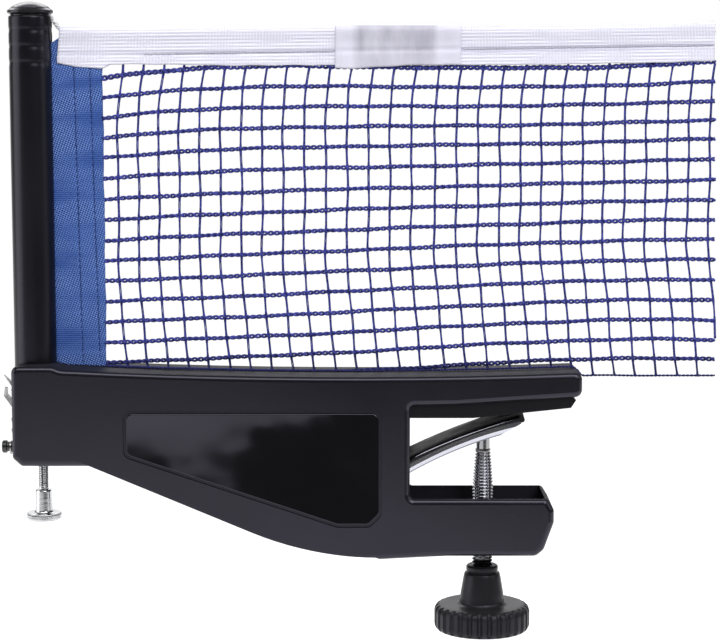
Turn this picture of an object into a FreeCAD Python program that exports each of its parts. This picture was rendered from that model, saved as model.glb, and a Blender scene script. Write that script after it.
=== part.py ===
import FreeCAD, Part
import math
import os

import Sketcher

# Table tennis net clamp: a folded steel bracket that grips the table's edge, with a swinging
# pressure lever and a clamp screw, and a net post that a small thumb screw lifts.
#
# Frame, in millimetres: +X towards the table and along the net, +Y away from the front plate,
# +Z up. The origin is the middle of the flat seat that rests on the table top. The net hangs
# in the plane Y = 0.

DRIVING_SIZES = {
    # folded bracket
    "sheet_thick": 1.6,
    "bracket_depth": 30.0,
    "throat_x": -12.0,
    "wall_x": -163.8,
    "nose_x": 53.4,
    "head_top": 20.1,
    "head_end_x": -148.2,
    "ramp_end_x": -145.2,
    "top_left": 18.9,
    "top_dip_x": -52.0,
    "top_dip": 16.2,
    "top_right": 17.8,
    "arm_root": 4.8,
    "arm_kink_x": 5.6,
    "arm_kink": 5.1,
    "arm_tip": 8.3,
    "head_base": -18.5,
    "wall_foot": -15.4,
    "foot_x": -160.3,
    "slant_x": -133.6,
    "belly_x": -72.0,
    "belly": -44.3,
    "belly_mid_x": -49.5,
    "belly_mid": -51.2,
    "belly_end_x": -25.2,
    "belly_end": -53.9,
    "web_start_x": -23.2,
    "web_start": -54.8,
    "web_flat_x": 2.0,
    "jaw_base": -53.5,
    "jaw_toe_x": 36.4,
    "jaw_heel_x": 39.4,
    "jaw_heel": -51.0,
    "jaw_front_x": 43.2,
    "jaw_front_low": -40.4,
    "jaw_front_high": -35.4,
    "jaw_lip_x": 40.6,
    "jaw_top": -31.1,
    "bend": 2.2,
    "corner_bend": 2.8,
    "throat_round": 1.8,
    "ramp_round": 5.0,
    # pressed recess in both side plates, and the plate in the front one
    "recess_depth": 0.8,
    "recess_round": 3.2,
    "recess_left": -121.4,
    "recess_top": 3.1,
    "recess_right": -22.8,
    "recess_left_foot": -14.8,
    "recess_slope_x": -40.0,
    "recess_base": -42.1,
    "recess_toe_x": -27.4,
    "recess_toe": -37.6,
    "decal_gap": 1.1,
    "decal_thick": 0.75,
    "decal_edge": 0.45,
    # upper jaw pad
    "pad_fit": 0.2,
    "pad_heel_x": -19.0,
    "pad_flat_x": 12.0,
    "pad_tip_x": 49.2,
    "pad_tip": 3.9,
    "pad_end_x": 51.2,
    "pad_end": 7.0,
    "pad_stop_x": 50.0,
    "pad_height": 12.4,
    "pad_pocket": 6.2,
    "pad_wall": 2.2,
    # pressure lever, its pad and its pivot
    "pivot_x": -26.9,
    "pivot_z": -29.6,
    "pin_radius": 2.5,
    "eye_radius": 4.6,
    "lever_rise": 5.2,
    "lever_tail": 1.5,
    "pin_running_gap": 0.06,
    "lever_width": 20.0,
    "lever_sheet": 1.5,
    "lever_bow_x": -0.6,
    "lever_bow": -10.6,
    "lever_tip_x": 29.8,
    "lever_tip": 0.27,
    "lever_tip_height": 3.0,
    "lever_taper_x": 22.6,
    "lever_taper": -7.1,
    "lever_under_x": 5.0,
    "lever_under": -13.3,
    "lever_root_x": -13.0,
    "lever_root": -22.3,
    "lever_pad_width": 16.0,
    "lever_pad_thick": 1.0,
    "lever_lip_thick": 1.8,
    "lever_lip_edge": 0.6,
    # clamp screw and knob
    "screw_x": 16.6,
    "screw_radius": 4.0,
    "screw_tip_radius": 2.65,
    "screw_tip_top": -6.1,
    "screw_tip_base": -13.8,
    "spigot_radius": 1.5,
    "spigot_length": 5.0,
    "screw_taper_end": -26.5,
    "screw_bottom": -81.0,
    "thread_gap": 0.06,
    "screw_hole_radius": 4.5,
    "clamp_nut_flats": 13.0,
    "clamp_nut_height": 6.5,
    "knob_top": -59.9,
    "knob_collar_radius": 6.2,
    "knob_collar_base": -62.2,
    "knob_neck_top_radius": 6.9,
    "knob_neck_base_radius": 8.9,
    "knob_disc_top": -75.4,
    "knob_disc_shoulder": -77.4,
    "knob_disc_base": -85.4,
    "knob_radius": 18.6,
    "knob_edge": 1.6,
    "knob_dish_radius": 13.0,
    "knob_dish_depth": 1.4,
    "knob_flutes": 30.0,
    "flute_radius": 1.35,
    "flute_depth": 0.75,
    # post
    "post_x": -156.2,
    "post_radius": 8.2,
    "post_wall": 1.4,
    "post_top": 152.3,
    "post_base": 11.0,
    "slot_width": 2.6,
    "ring_depth": 0.25,
    "ring_height": 1.9,
    "ring_top": 146.9,
    "ring_pitch": 6.15,
    "post_hole_gap": 0.25,
    "cap_rim_radius": 8.6,
    "cap_rim": 154.3,
    "cap_rim_height": 0.9,
    "cap_step_radius": 7.15,
    "cap_step": 155.5,
    "cap_step_height": 0.25,
    "cap_crown": 157.6,
    "cap_neck_radius": 7.4,
    "cap_plug_radius": 6.75,
    "cap_plug_base": 146.5,
    "cap_notch_width": 2.4,
    "cap_notch_x": -154.6,
    "foot_plug_radius": 6.75,
    "foot_plug_top": 17.0,
    "stem_radius": 5.5,
    "stem_base": -10.5,
    "guide_left_x": -160.2,
    "guide_right_x": -147.2,
    "guide_base": -6.0,
    "guide_top": 10.5,
    "notch_base": 10.6,
    "notch_width": 11.8,
    "guide_gap": 0.06,
    "guide_fit": 0.15,
    # height screw
    "lift_x": -154.2,
    "lift_radius": 2.0,
    "lift_hole_radius": 2.4,
    "lift_tip": -10.6,
    "lift_nut_flats": 7.0,
    "lift_nut_height": 3.2,
    "lift_barrel_top": -29.9,
    "lift_barrel_radius": 3.55,
    "lift_barrel_chamfer": 0.8,
    "lift_disc_top": -39.0,
    "lift_disc_radius": 6.75,
    "lift_disc_height": 2.8,
    "lift_disc_edge": 0.5,
    # cord cleat and its small screw
    "cleat_width": 9.0,
    "cleat_thick": 1.0,
    "cleat_base": -9.6,
    "cleat_bend": 9.3,
    "prong_tip_out": 5.7,
    "prong_tip": 14.3,
    "prong_tip_width": 1.4,
    "tongue_width": 4.0,
    "tongue_root": 2.4,
    "tongue_mid_out": 4.4,
    "tongue_mid": 7.0,
    "tongue_tip_out": 4.1,
    "tongue_tip": 10.2,
    "tongue_tip_width": 1.2,
    "rivet_head_radius": 1.9,
    "rivet_head_height": 1.5,
    "rivet_shank_radius": 1.0,
    "rivet_upper": -2.7,
    "rivet_pitch": 4.2,
    "grip_screw_z": -13.2,
    "grip_screw_radius": 1.5,
    "grip_screw_gap": 0.06,
    "grip_screw_inner": 4.6,
    "grip_nut_radius": 2.2,
    "grip_nut_flange": 2.4,
    "grip_nut_shank_radius": 1.9,
    "grip_nut_tail": 0.9,
    "grip_washer_radius": 2.7,
    "grip_washer_thick": 0.5,
    "grip_washer_bore": 1.85,
    "grip_washer_drop": 0.3,
    "grip_waist_radius": 1.9,
    "grip_waist_length": 1.1,
    "grip_head_radius": 2.45,
    "grip_head_length": 1.9,
    # net, tape, sleeve and cords
    "net_left_x": -129.0,
    "net_right_x": 103.6,
    "net_top": 133.0,
    "net_base": 20.0,
    "net_thick": 1.2,
    "net_strand": 1.3,
    "net_columns": 23.0,
    "net_rows": 13.0,
    "tape_left_x": -146.2,
    "tape_mouth_x": -142.4,
    "tape_mouth": 145.2,
    "tape_thick": 1.8,
    "tape_fold_radius": 2.0,
    "tape_shoulder": 143.4,
    "cord_radius": 0.85,
    "cord_bore_gap": 0.1,
    "cord_height": 146.4,
    "cord_bend": 2.2,
    "label_left_x": -40.6,
    "label_right_x": 7.2,
    "label_thick": 0.4,
    "sleeve_thick": 1.8,
    "sleeve_left_x": -149.9,
    "sleeve_top": 144.6,
    "sleeve_corner": 142.4,
    "sleeve_base": 19.4,
    "sleeve_heel": 20.8,
    "sleeve_heel_x": -144.6,
    "rod_radius": 1.8,
    "rod_top": 139.0,
    "bottom_cord_radius": 0.6,
    "knot_radius": 2.2,
}

NET_CORD_ROUTE = (
    # x, z of the cord from the tape's corner over the tube's rim to the knot under the cap
    (-144.6, 146.4),
    (-149.3, 153.2),
    (-153.4, 153.4),
    (-153.4, 144.0),
)


class Size:
    """A length and the expression of sheet cells that it comes from."""

    def __init__(self, value, text):
        self.value = float(value)
        self.text = text

    @staticmethod
    def of(other):
        return other if isinstance(other, Size) else Size(other, repr(float(other)))

    def _join(self, other, sign, value):
        return Size(value, f"({self.text} {sign} {Size.of(other).text})")

    def __add__(self, other):
        return self._join(other, "+", self.value + Size.of(other).value)

    def __sub__(self, other):
        return self._join(other, "-", self.value - Size.of(other).value)

    def __mul__(self, other):
        return self._join(other, "*", self.value * Size.of(other).value)

    def __truediv__(self, other):
        return self._join(other, "/", self.value / Size.of(other).value)

    def __neg__(self):
        return Size(-self.value, f"(0 - {self.text})")

    def root(self):
        return Size(math.sqrt(self.value), f"sqrt({self.text})")


class Sizes:
    """The cells of the sheet, read by name."""

    def __init__(self, cells):
        self.cells = cells

    def __getattr__(self, name):
        return Size(self.cells.get(name), f"{self.cells.Name}.{name}")


doc = FreeCAD.newDocument("net_clamp")


def size_sheet():
    """The spreadsheet of driving sizes, one named cell each."""
    sheet = doc.addObject("Spreadsheet::Sheet", "Sizes")
    for row, (name, value) in enumerate(DRIVING_SIZES.items(), start=1):
        sheet.set(f"A{row}", name)
        sheet.set(f"B{row}", repr(value))
        sheet.setAlias(f"B{row}", name)
    doc.recompute()
    return sheet


d = Sizes(size_sheet())
HALF_DEPTH = d.bracket_depth / 2
SUB_PARTS = []


def new_body(label):
    body = doc.addObject("PartDesign::Body", label)
    body.Label = label
    body.Placement = FreeCAD.Placement()
    SUB_PARTS.append(body)
    return body


def bind(target, prop, size):
    """Sets a property and ties it to the sheet."""
    size = Size.of(size)
    setattr(target, prop, size.value)
    target.setExpression(prop, size.text)


def new_sketch(body, name, role, offset=0.0, shift=(0.0, 0.0)):
    """A sketch on one of the body's origin planes, moved along the plane's normal by offset
    and within the plane by shift."""
    sketch = body.newObject("Sketcher::SketchObject", name)
    plane = next(item for item in body.Origin.OriginFeatures if item.Role == role)
    sketch.AttachmentSupport = [(plane, "")]
    sketch.MapMode = "FlatFace"
    places = [Size.of(value) for value in (*shift, offset)]
    sketch.AttachmentOffset = FreeCAD.Placement(
        FreeCAD.Vector(*[place.value for place in places]), FreeCAD.Rotation()
    )
    for axis, place in zip("xyz", places):
        sketch.setExpression(f"AttachmentOffset.Base.{axis}", place.text)
    return sketch


def hold(sketch, geometry, end, x, y):
    """Fixes one point of a sketch at x, y."""
    for kind, size in (("DistanceX", x), ("DistanceY", y)):
        size = Size.of(size)
        index = sketch.addConstraint(
            Sketcher.Constraint(kind, -1, 1, geometry, end, size.value)
        )
        sketch.setExpression(f"Constraints[{index}]", size.text)


def outline(sketch, corners):
    """A closed outline through corners (x, y). A corner (x, y, "via") bends the edge that
    passes it into an arc through that point."""
    points = [(Size.of(c[0]), Size.of(c[1]), len(c) > 2) for c in corners]
    while points[0][2]:
        points.append(points.pop(0))
    ends = [i for i, point in enumerate(points) if not point[2]]
    edges = []
    for order, first in enumerate(ends):
        last = ends[(order + 1) % len(ends)]
        via = points[first + 1] if (first + 1) % len(points) != last else None
        start, stop = points[first], points[last]
        a = FreeCAD.Vector(start[0].value, start[1].value, 0)
        b = FreeCAD.Vector(stop[0].value, stop[1].value, 0)
        if via is None:
            index = sketch.addGeometry(Part.LineSegment(a, b))
            edges.append((index, 1, 2, start, None))
            continue
        m = FreeCAD.Vector(via[0].value, via[1].value, 0)
        clockwise = (m - a).cross(b - m).z < 0
        arc = Part.ArcOfCircle(b, m, a) if clockwise else Part.ArcOfCircle(a, m, b)
        index = sketch.addGeometry(arc)
        edges.append((index, 2 if clockwise else 1, 1 if clockwise else 2, start, via))
    for order, (index, begin, finish, start, via) in enumerate(edges):
        following = edges[(order + 1) % len(edges)]
        sketch.addConstraint(
            Sketcher.Constraint("Coincident", index, finish, following[0], following[1])
        )
        hold(sketch, index, begin, start[0], start[1])
        if via is not None:
            spot = sketch.addGeometry(
                Part.Point(FreeCAD.Vector(via[0].value, via[1].value, 0)), True
            )
            hold(sketch, spot, 1, via[0], via[1])
            sketch.addConstraint(Sketcher.Constraint("PointOnObject", spot, 1, index))


def circle(sketch, x, y, radius):
    x, y, radius = Size.of(x), Size.of(y), Size.of(radius)
    centre = FreeCAD.Vector(x.value, y.value, 0)
    index = sketch.addGeometry(
        Part.Circle(centre, FreeCAD.Vector(0, 0, 1), radius.value)
    )
    hold(sketch, index, 3, x, y)
    rule = sketch.addConstraint(Sketcher.Constraint("Radius", index, radius.value))
    sketch.setExpression(f"Constraints[{rule}]", radius.text)


def pad(body, name, sketch, length, centred=False, reverse=False):
    """Grows the sketch along its normal, or half each way."""
    feature = body.newObject("PartDesign::Pad", name)
    feature.Profile = sketch
    feature.SideType = "Symmetric" if centred else "One side"
    feature.Reversed = reverse
    bind(feature, "Length", length)
    doc.recompute()
    return feature


def pocket(body, name, sketch, length, centred=False, reverse=False):
    """Cuts the sketch out of the body and makes sure that it cut something."""
    before = body.Shape.Volume
    feature = body.newObject("PartDesign::Pocket", name)
    feature.Profile = sketch
    feature.SideType = "Symmetric" if centred else "One side"
    feature.Reversed = reverse
    bind(feature, "Length", length)
    doc.recompute()
    if not before - body.Shape.Volume > 1e-3:
        raise RuntimeError(f"{body.Label}: {name} cuts nothing")
    return feature


def names_of(shape, kind, test):
    """Names of the faces or edges of a shape that pass a test."""
    items = shape.Faces if kind == "Face" else shape.Edges
    return [f"{kind}{i}" for i, item in enumerate(items, start=1) if test(item)]


def middle(edge):
    """The point half way along an edge."""
    return edge.valueAt((edge.FirstParameter + edge.LastParameter) / 2)


def fillet(body, name, radius, test):
    """Rounds the edges of the body's present shape that pass a test."""
    base = body.Tip
    found = names_of(base.Shape, "Edge", test)
    if not found:
        raise RuntimeError(f"{body.Label}: {name} finds no edge")
    feature = body.newObject("PartDesign::Fillet", name)
    feature.Base = (base, found)
    bind(feature, "Radius", radius)
    doc.recompute()
    return feature


def along(axis, x=None, y=None, z=None, near=0.4):
    """A test for straight edges along an axis that pass the places given."""
    places = (x, y, z)
    wanted = [None if p is None else Size.of(p).value for p in places]

    def test(edge):
        if edge.Curve.TypeId != "Part::GeomLine":
            return False
        if abs(abs(edge.tangentAt(edge.FirstParameter)[axis]) - 1) > 1e-6:
            return False
        spot = middle(edge)
        return all(w is None or abs(spot[i] - w) < near for i, w in enumerate(wanted))

    return test


def either(*tests):
    return lambda item: any(test(item) for test in tests)


def inset(corners, distance):
    """The corners of an outline drawn in by a distance, with its sides kept parallel. The
    outline runs clockwise, and a negative distance grows it."""
    points = [FreeCAD.Vector(Size.of(x).value, Size.of(y).value, 0) for x, y in corners]
    moved = []
    for i, (x, y) in enumerate(corners):
        before = (points[i] - points[i - 1]).normalize()
        after = (points[(i + 1) % len(points)] - points[i]).normalize()
        inward = FreeCAD.Vector(before.y + after.y, -before.x - after.x, 0)
        share = 1 + before.dot(after)
        moved.append((Size.of(x) + distance * (inward.x / share),
                      Size.of(y) + distance * (inward.y / share)))
    return moved


HEAD_OUTLINE = [
    (d.foot_x, d.head_base),
    (d.wall_x, d.wall_foot),
    (d.wall_x, d.head_top),
    (d.head_end_x, d.head_top),
    (d.ramp_end_x, d.top_left),
]
JAW_OUTLINE = [
    (d.jaw_lip_x, d.jaw_top),
    (d.jaw_front_x, d.jaw_front_high),
    (d.jaw_front_x, d.jaw_front_low),
    (d.jaw_heel_x, d.jaw_heel),
    (d.jaw_toe_x, d.jaw_base),
    (d.web_flat_x, d.jaw_base),
]
RECESS_OUTLINE = [
    (d.recess_left, d.recess_top),
    (d.recess_right, d.recess_top),
    (d.recess_right, d.recess_toe),
    (d.recess_toe_x, d.recess_base),
    (d.recess_slope_x, d.recess_base),
    (d.recess_left, d.recess_left_foot),
]


def bracket_shell():
    """The folded bracket: a block of the side outline with its outer bends, hollowed to the
    sheet, open at the throat, along the arm's underside and along the belly. A recess is
    pressed into both side plates."""
    body = new_body("bracket_shell")
    side = new_sketch(body, "side_outline", "XZ_Plane")
    outline(side, HEAD_OUTLINE + [
        (d.top_dip_x, d.top_dip, "via"),
        (d.nose_x, d.top_right),
        (d.nose_x, d.arm_tip),
        (d.arm_kink_x, d.arm_kink),
        (d.throat_x, d.arm_root),
        (d.throat_x, d.jaw_top),
    ] + JAW_OUTLINE + [
        (d.web_start_x, d.web_start),
        (d.belly_end_x, d.belly_end),
        (d.belly_mid_x, d.belly_mid, "via"),
        (d.belly_x, d.belly),
        (d.slant_x, d.head_base),
    ])
    pad(body, "side_block", side, d.bracket_depth, centred=True)
    wide_corners = either(
        along(1, d.wall_x, None, d.head_top),
        along(1, d.nose_x, None, d.top_right),
        along(1, d.nose_x, None, d.arm_tip),
        along(1, d.jaw_front_x, None, d.jaw_front_high),
        along(1, d.jaw_front_x, None, d.jaw_front_low),
        along(1, d.jaw_heel_x, None, d.jaw_heel),
        along(1, d.jaw_toe_x, None, d.jaw_base),
    )
    fillet(body, "corner_bends", d.corner_bend, wide_corners)
    fillet(body, "small_rounds", d.throat_round, either(
        along(1, d.throat_x, None, d.arm_root),
        along(1, d.throat_x, None, d.jaw_top),
        along(1, d.jaw_lip_x, None, d.jaw_top),
        along(1, d.foot_x, None, d.head_base),
        along(1, d.wall_x, None, d.wall_foot),
    ))
    fillet(body, "ramp_rounds", d.ramp_round, either(
        along(1, d.head_end_x, None, d.head_top),
        along(1, d.ramp_end_x, None, d.top_left),
    ))
    fillet(body, "long_bends", d.bend, lambda edge: (
        abs(abs(middle(edge).y) - HALF_DEPTH.value) < 1e-3 and folded(middle(edge))
    ))
    hollow_bracket(body)
    for side_name, outward in (("front", 1), ("rear", -1)):
        press_recess(body, side_name, outward)
    bracket_holes(body)
    return body


def folded(spot):
    """True where the sheet folds round the bracket's outline: the top and the nose, the head
    and the lower jaw, but not the throat or the open belly."""
    over = spot.z > d.arm_tip.value + 0.2
    head = spot.x < d.slant_x.value - 0.4
    jaw = spot.x > d.web_start_x.value + 0.5 and spot.z < d.jaw_top.value - 0.55
    return over or head or jaw


def hollow_bracket(body):
    """Cuts the room between the side plates, one sheet inside the folded edges and past the
    open ones, and rounds its inner bends."""
    sheet = d.sheet_thick
    clear = d.bracket_depth / 3
    lip_x = d.nose_x - d.corner_bend
    walls = inset(HEAD_OUTLINE + [
        (d.nose_x, d.top_right),
        (d.nose_x, d.arm_tip),
        (d.jaw_lip_x, d.jaw_top),
    ] + JAW_OUTLINE[1:] + [
        (d.web_start_x, d.web_start),
        (d.slant_x, d.head_base),
    ], sheet)
    head, nose_top, jaw = walls[:5], walls[5], walls[8:13]
    lip = inset([(d.jaw_lip_x - clear, d.jaw_top), JAW_OUTLINE[0], JAW_OUTLINE[1]], sheet)[1]
    room = new_sketch(body, "room_outline", "XZ_Plane")
    outline(room, head + [
        (d.top_dip_x, d.top_dip - sheet, "via"),
        nose_top,
        (d.nose_x - sheet, d.arm_tip + sheet),
        (lip_x, d.arm_tip + sheet),
        (lip_x, d.arm_root - clear),
        (lip[0], d.jaw_top + clear),
        (lip[0], d.jaw_top),
    ] + jaw + [
        (d.web_start_x, d.web_start + sheet),
        (d.web_start_x, d.web_start - clear),
        (d.belly_x, d.belly - clear),
        (d.slant_x, d.head_base - clear),
        (d.slant_x, d.head_base + sheet),
    ])
    pocket(body, "room", room, d.bracket_depth - sheet * 2, centred=True)
    inner = (HALF_DEPTH - sheet).value
    fillet(body, "inner_bends", d.bend - sheet, lambda edge: (
        abs(abs(middle(edge).y) - inner) < 1e-3 and folded_inside(middle(edge))
    ))


def folded_inside(spot):
    """True where an inner edge of the room lies along a fold."""
    sheet = d.sheet_thick.value
    over = spot.z > d.arm_tip.value + 2 * sheet
    head = spot.x < d.slant_x.value - 1
    jaw = spot.x > d.web_start_x.value + 1 and spot.z < d.jaw_top.value - 1
    return over or head or jaw


def press_recess(body, side_name, outward):
    """A shallow pressed recess: cut into the outer face and raised on the inner one."""
    sheet = d.sheet_thick
    floor = new_sketch(body, f"{side_name}_recess_outline", "XZ_Plane",
                       (HALF_DEPTH - d.recess_depth) * outward)
    outline(floor, RECESS_OUTLINE)
    bulge = new_sketch(body, f"{side_name}_bulge_outline", "XZ_Plane",
                       (HALF_DEPTH - sheet) * outward)
    outline(bulge, inset(RECESS_OUTLINE, -sheet))
    pad(body, f"{side_name}_bulge", bulge, d.recess_depth, reverse=outward > 0)
    pocket(body, f"{side_name}_recess", floor, d.recess_depth, reverse=outward > 0)
    middle_y = (HALF_DEPTH - d.recess_depth / 2).value
    fillet(body, f"{side_name}_recess_rounds", d.recess_round, lambda edge: (
        abs(edge.Length - d.recess_depth.value) < 1e-3
        and abs(middle(edge).y + outward * middle_y) < 1e-3
    ))


def bracket_holes(body):
    """The hole for the post, open at the end wall's top, where the tube stands proud of
    it, and the holes for its height screw, the clamp screw, the rivets and the cord
    screw."""
    top = d.head_top + 1
    above = new_sketch(body, "post_hole_outline", "XY_Plane", top)
    circle(above, d.post_x, 0, d.post_radius + d.post_hole_gap)
    pocket(body, "post_hole", above, top - d.notch_base)
    end = new_sketch(body, "post_notch_outline", "XY_Plane", top)
    half = d.notch_width / 2
    box_outline(end, d.wall_x - 1, -half, d.post_x, half)
    pocket(body, "post_notch", end, top - d.notch_base)
    below = new_sketch(body, "screw_holes_outline", "XY_Plane", d.head_base - 1)
    circle(below, d.lift_x, 0, d.lift_hole_radius)
    pocket(body, "lift_screw_hole", below, d.sheet_thick + 2, reverse=True)
    under = new_sketch(body, "clamp_hole_outline", "XY_Plane", d.jaw_base - 1)
    circle(under, d.screw_x, 0, d.screw_hole_radius)
    pocket(body, "clamp_screw_hole", under, d.sheet_thick + 2, reverse=True)
    wall = new_sketch(body, "wall_holes_outline", "YZ_Plane", d.wall_x - 1)
    circle(wall, 0, d.grip_screw_z, d.grip_nut_shank_radius)
    circle(wall, 0, d.rivet_upper, d.rivet_shank_radius)
    circle(wall, 0, d.rivet_upper - d.rivet_pitch, d.rivet_shank_radius)
    pocket(body, "wall_holes", wall, d.sheet_thick + 2, reverse=True)


def front_decal():
    """The glossy plate in the front recess, bare, with a softly raised edge."""
    body = new_body("front_decal")
    plate = new_sketch(body, "decal_outline", "XZ_Plane", HALF_DEPTH - d.recess_depth)
    outline(plate, inset(RECESS_OUTLINE, d.decal_gap))
    pad(body, "decal_plate", plate, d.decal_thick)
    fillet(body, "decal_corners", d.recess_round - d.decal_gap / 2, lambda edge: (
        abs(edge.Length - d.decal_thick.value) < 1e-3
    ))
    face_y = (d.recess_depth + -HALF_DEPTH - d.decal_thick).value
    fillet(body, "decal_edge", d.decal_edge, lambda edge: (
        abs(middle(edge).y - face_y) < 1e-3
    ))
    return body


def box_outline(sketch, x0, y0, x1, y1):
    outline(sketch, [(x0, y0), (x0, y1), (x1, y1), (x1, y0)])


def upper_jaw_pad():
    """The moulded insert under the arm: flat over the seat, rising towards the tip, with
    ribs across its hollow back."""
    body = new_body("upper_jaw_pad")
    width = d.bracket_depth - (d.sheet_thick + d.pad_fit) * 2
    side = new_sketch(body, "pad_outline", "XZ_Plane")
    outline(side, [
        (d.pad_heel_x, d.pad_height),
        (d.pad_stop_x, d.pad_height),
        (d.pad_stop_x, d.arm_tip - 0.4),
        (d.pad_end_x, d.pad_end),
        (d.pad_tip_x, d.pad_tip),
        (d.pad_flat_x, 0),
        (d.pad_heel_x + 1.5, 0),
        (d.pad_heel_x, 1.5),
    ])
    pad(body, "pad_block", side, width, centred=True)
    cells = new_sketch(body, "cell_outlines", "XY_Plane", d.pad_height)
    count = 4
    pitch = (d.pad_stop_x - d.pad_heel_x - d.pad_wall) / count
    half = width / 2 - d.pad_wall
    for cell in range(count):
        x0 = d.pad_heel_x + d.pad_wall + pitch * cell
        box_outline(cells, x0, -half, x0 + pitch - d.pad_wall, half)
    pocket(body, "cells", cells, d.pad_pocket)
    fillet(body, "pad_edges", 0.6, lambda edge: (
        edge.Length > 20 and middle(edge).z < d.pad_tip.value
        and abs(abs(middle(edge).y) - (width / 2).value) < 1e-3
    ))
    return body


def hexagon(sketch, x, y, flats):
    """A hexagon with two flats across the second axis."""
    half = flats / 2
    side = flats * (0.5 / math.cos(math.pi / 6))
    outline(sketch, [
        (Size.of(x) - side, y),
        (Size.of(x) - side / 2, Size.of(y) + half),
        (Size.of(x) + side / 2, Size.of(y) + half),
        (Size.of(x) + side, y),
        (Size.of(x) + side / 2, Size.of(y) - half),
        (Size.of(x) - side / 2, Size.of(y) - half),
    ])


def weld_nut(label, x, seat, flats, height, bore):
    """A hexagon nut that stands on an inner face of the bracket."""
    body = new_body(label)
    base = new_sketch(body, f"{label}_outline", "XY_Plane", seat)
    hexagon(base, x, 0, flats)
    circle(base, x, 0, bore)
    pad(body, f"{label}_block", base, height)
    return body


def straight_rod(label, role, x, y, start, length, radius):
    body = new_body(label)
    base = new_sketch(body, f"{label}_outline", role, start)
    circle(base, x, y, radius)
    pad(body, f"{label}_rod", base, length)
    return body


BACK_ANGLE = math.radians(31.5)
TIP_ANGLE = math.radians(16.0)


def lever_end(x, z, angle, forward, up):
    """A point forward along the lever and up from it, where the lever slopes at angle."""
    return (
        x + forward * math.cos(angle) - up * math.sin(angle),
        z + forward * math.sin(angle) + up * math.cos(angle),
    )


def lever_top(up):
    """The curved top line of the lever, raised by up: back end, middle and tip."""
    up, zero = Size.of(up), Size.of(0)
    back = lever_end(d.pivot_x, d.pivot_z, BACK_ANGLE, -d.lever_tail, d.lever_rise + up)
    tip = lever_end(d.lever_tip_x, d.lever_tip, TIP_ANGLE, zero, up)
    bow = lever_end(d.lever_bow_x, d.lever_bow, (BACK_ANGLE + TIP_ANGLE) / 2, zero, up)
    return [back, (bow[0], bow[1], "via"), tip]


def pressure_lever():
    """The curved channel that swings on the pin: a web bowed upwards with two flanges,
    closed at its tip, with an eye on each flange for the pin."""
    body = new_body("pressure_lever")
    pivot = (d.pivot_x, d.pivot_z, BACK_ANGLE)
    tip = (d.lever_tip_x, d.lever_tip, TIP_ANGLE)
    side = new_sketch(body, "lever_outline", "XZ_Plane")
    outline(side, lever_top(0) + [
        lever_end(*tip, Size.of(0), -d.lever_tip_height),
        (d.lever_taper_x, d.lever_taper),
        (d.lever_under_x, d.lever_under, "via"),
        (d.lever_root_x, d.lever_root),
        lever_end(*pivot, -d.lever_tail, -d.eye_radius / 2),
    ])
    pad(body, "lever_block", side, d.lever_width, centred=True)
    fillet(body, "lever_bends", d.lever_sheet * 0.8, lambda edge: edge.Length > 55)
    web = -d.lever_sheet
    top = lever_top(web)
    room = new_sketch(body, "channel_outline", "XZ_Plane")
    outline(room, [
        lever_end(*pivot, -d.lever_tail * 3, d.lever_rise + web),
        top[0], top[1],
        lever_end(*tip, web, web),
        lever_end(*tip, web, web * 8),
        lever_end(*pivot, -d.lever_tail * 3, -d.eye_radius * 2),
    ])
    pocket(body, "channel", room, d.lever_width - d.lever_sheet * 2, centred=True)
    half = d.lever_width / 2
    for side_name, face in (("front", half), ("rear", d.lever_sheet - half)):
        eye = new_sketch(body, f"{side_name}_eye_outline", "XZ_Plane", face)
        circle(eye, d.pivot_x, d.pivot_z, d.eye_radius)
        pad(body, f"{side_name}_eye", eye, d.lever_sheet, reverse=True)
    bore = new_sketch(body, "eye_bore_outline", "XZ_Plane", -half - 1)
    circle(bore, d.pivot_x, d.pivot_z, d.pin_radius + d.pin_running_gap)
    pocket(body, "eye_bores", bore, d.lever_width + 2, reverse=True)
    return body


def lever_pad():
    """The rubber strip on the lever, with a lip over its tip."""
    body = new_body("lever_pad")
    thick, lip, edge = d.lever_pad_thick, d.lever_lip_thick, d.lever_lip_edge
    under, over = lever_top(0), lever_top(thick)
    tip = (d.lever_tip_x, d.lever_tip, TIP_ANGLE)
    side = new_sketch(body, "strip_outline", "XZ_Plane")
    outline(side, over[:2] + [
        lever_end(*tip, lip - edge, thick),
        lever_end(*tip, lip, thick - edge),
        lever_end(*tip, lip, edge - d.lever_tip_height),
        lever_end(*tip, lip - edge, -d.lever_tip_height),
        lever_end(*tip, Size.of(0), -d.lever_tip_height),
        under[2], under[1], under[0],
    ])
    pad(body, "strip", side, d.lever_pad_width, centred=True)
    return body


def turned(label, x, z, profile, axis="V_Axis"):
    """A turned piece: a profile on the plane Y = 0, drawn from the point x, z and spun about
    the upright axis through it, or the level one for H_Axis."""
    body = new_body(label)
    sketch = new_sketch(body, f"{label}_profile", "XZ_Plane", shift=(x, z))
    outline(sketch, profile)
    feature = body.newObject("PartDesign::Revolution", f"{label}_turning")
    feature.Profile = sketch
    feature.ReferenceAxis = (sketch, [axis])
    feature.Angle = 360.0
    doc.recompute()
    return body


def cut_groove(body, name, sketch):
    before = body.Shape.Volume
    feature = body.newObject("PartDesign::Groove", name)
    feature.Profile = sketch
    feature.ReferenceAxis = (sketch, ["V_Axis"])
    feature.Angle = 360.0
    doc.recompute()
    if not before - body.Shape.Volume > 1e-3:
        raise RuntimeError(f"{body.Label}: {name} cuts nothing")


def dome_middle(radius, rise):
    """The point half way along a domed end's profile, out from its axis and down from its
    top, where the dome is part of a ball."""
    chord = (radius * radius + rise * rise).root()
    ball = chord * chord / (rise * 2)
    out = chord / 2
    return out, ball - (ball * ball - out * out).root()


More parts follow.
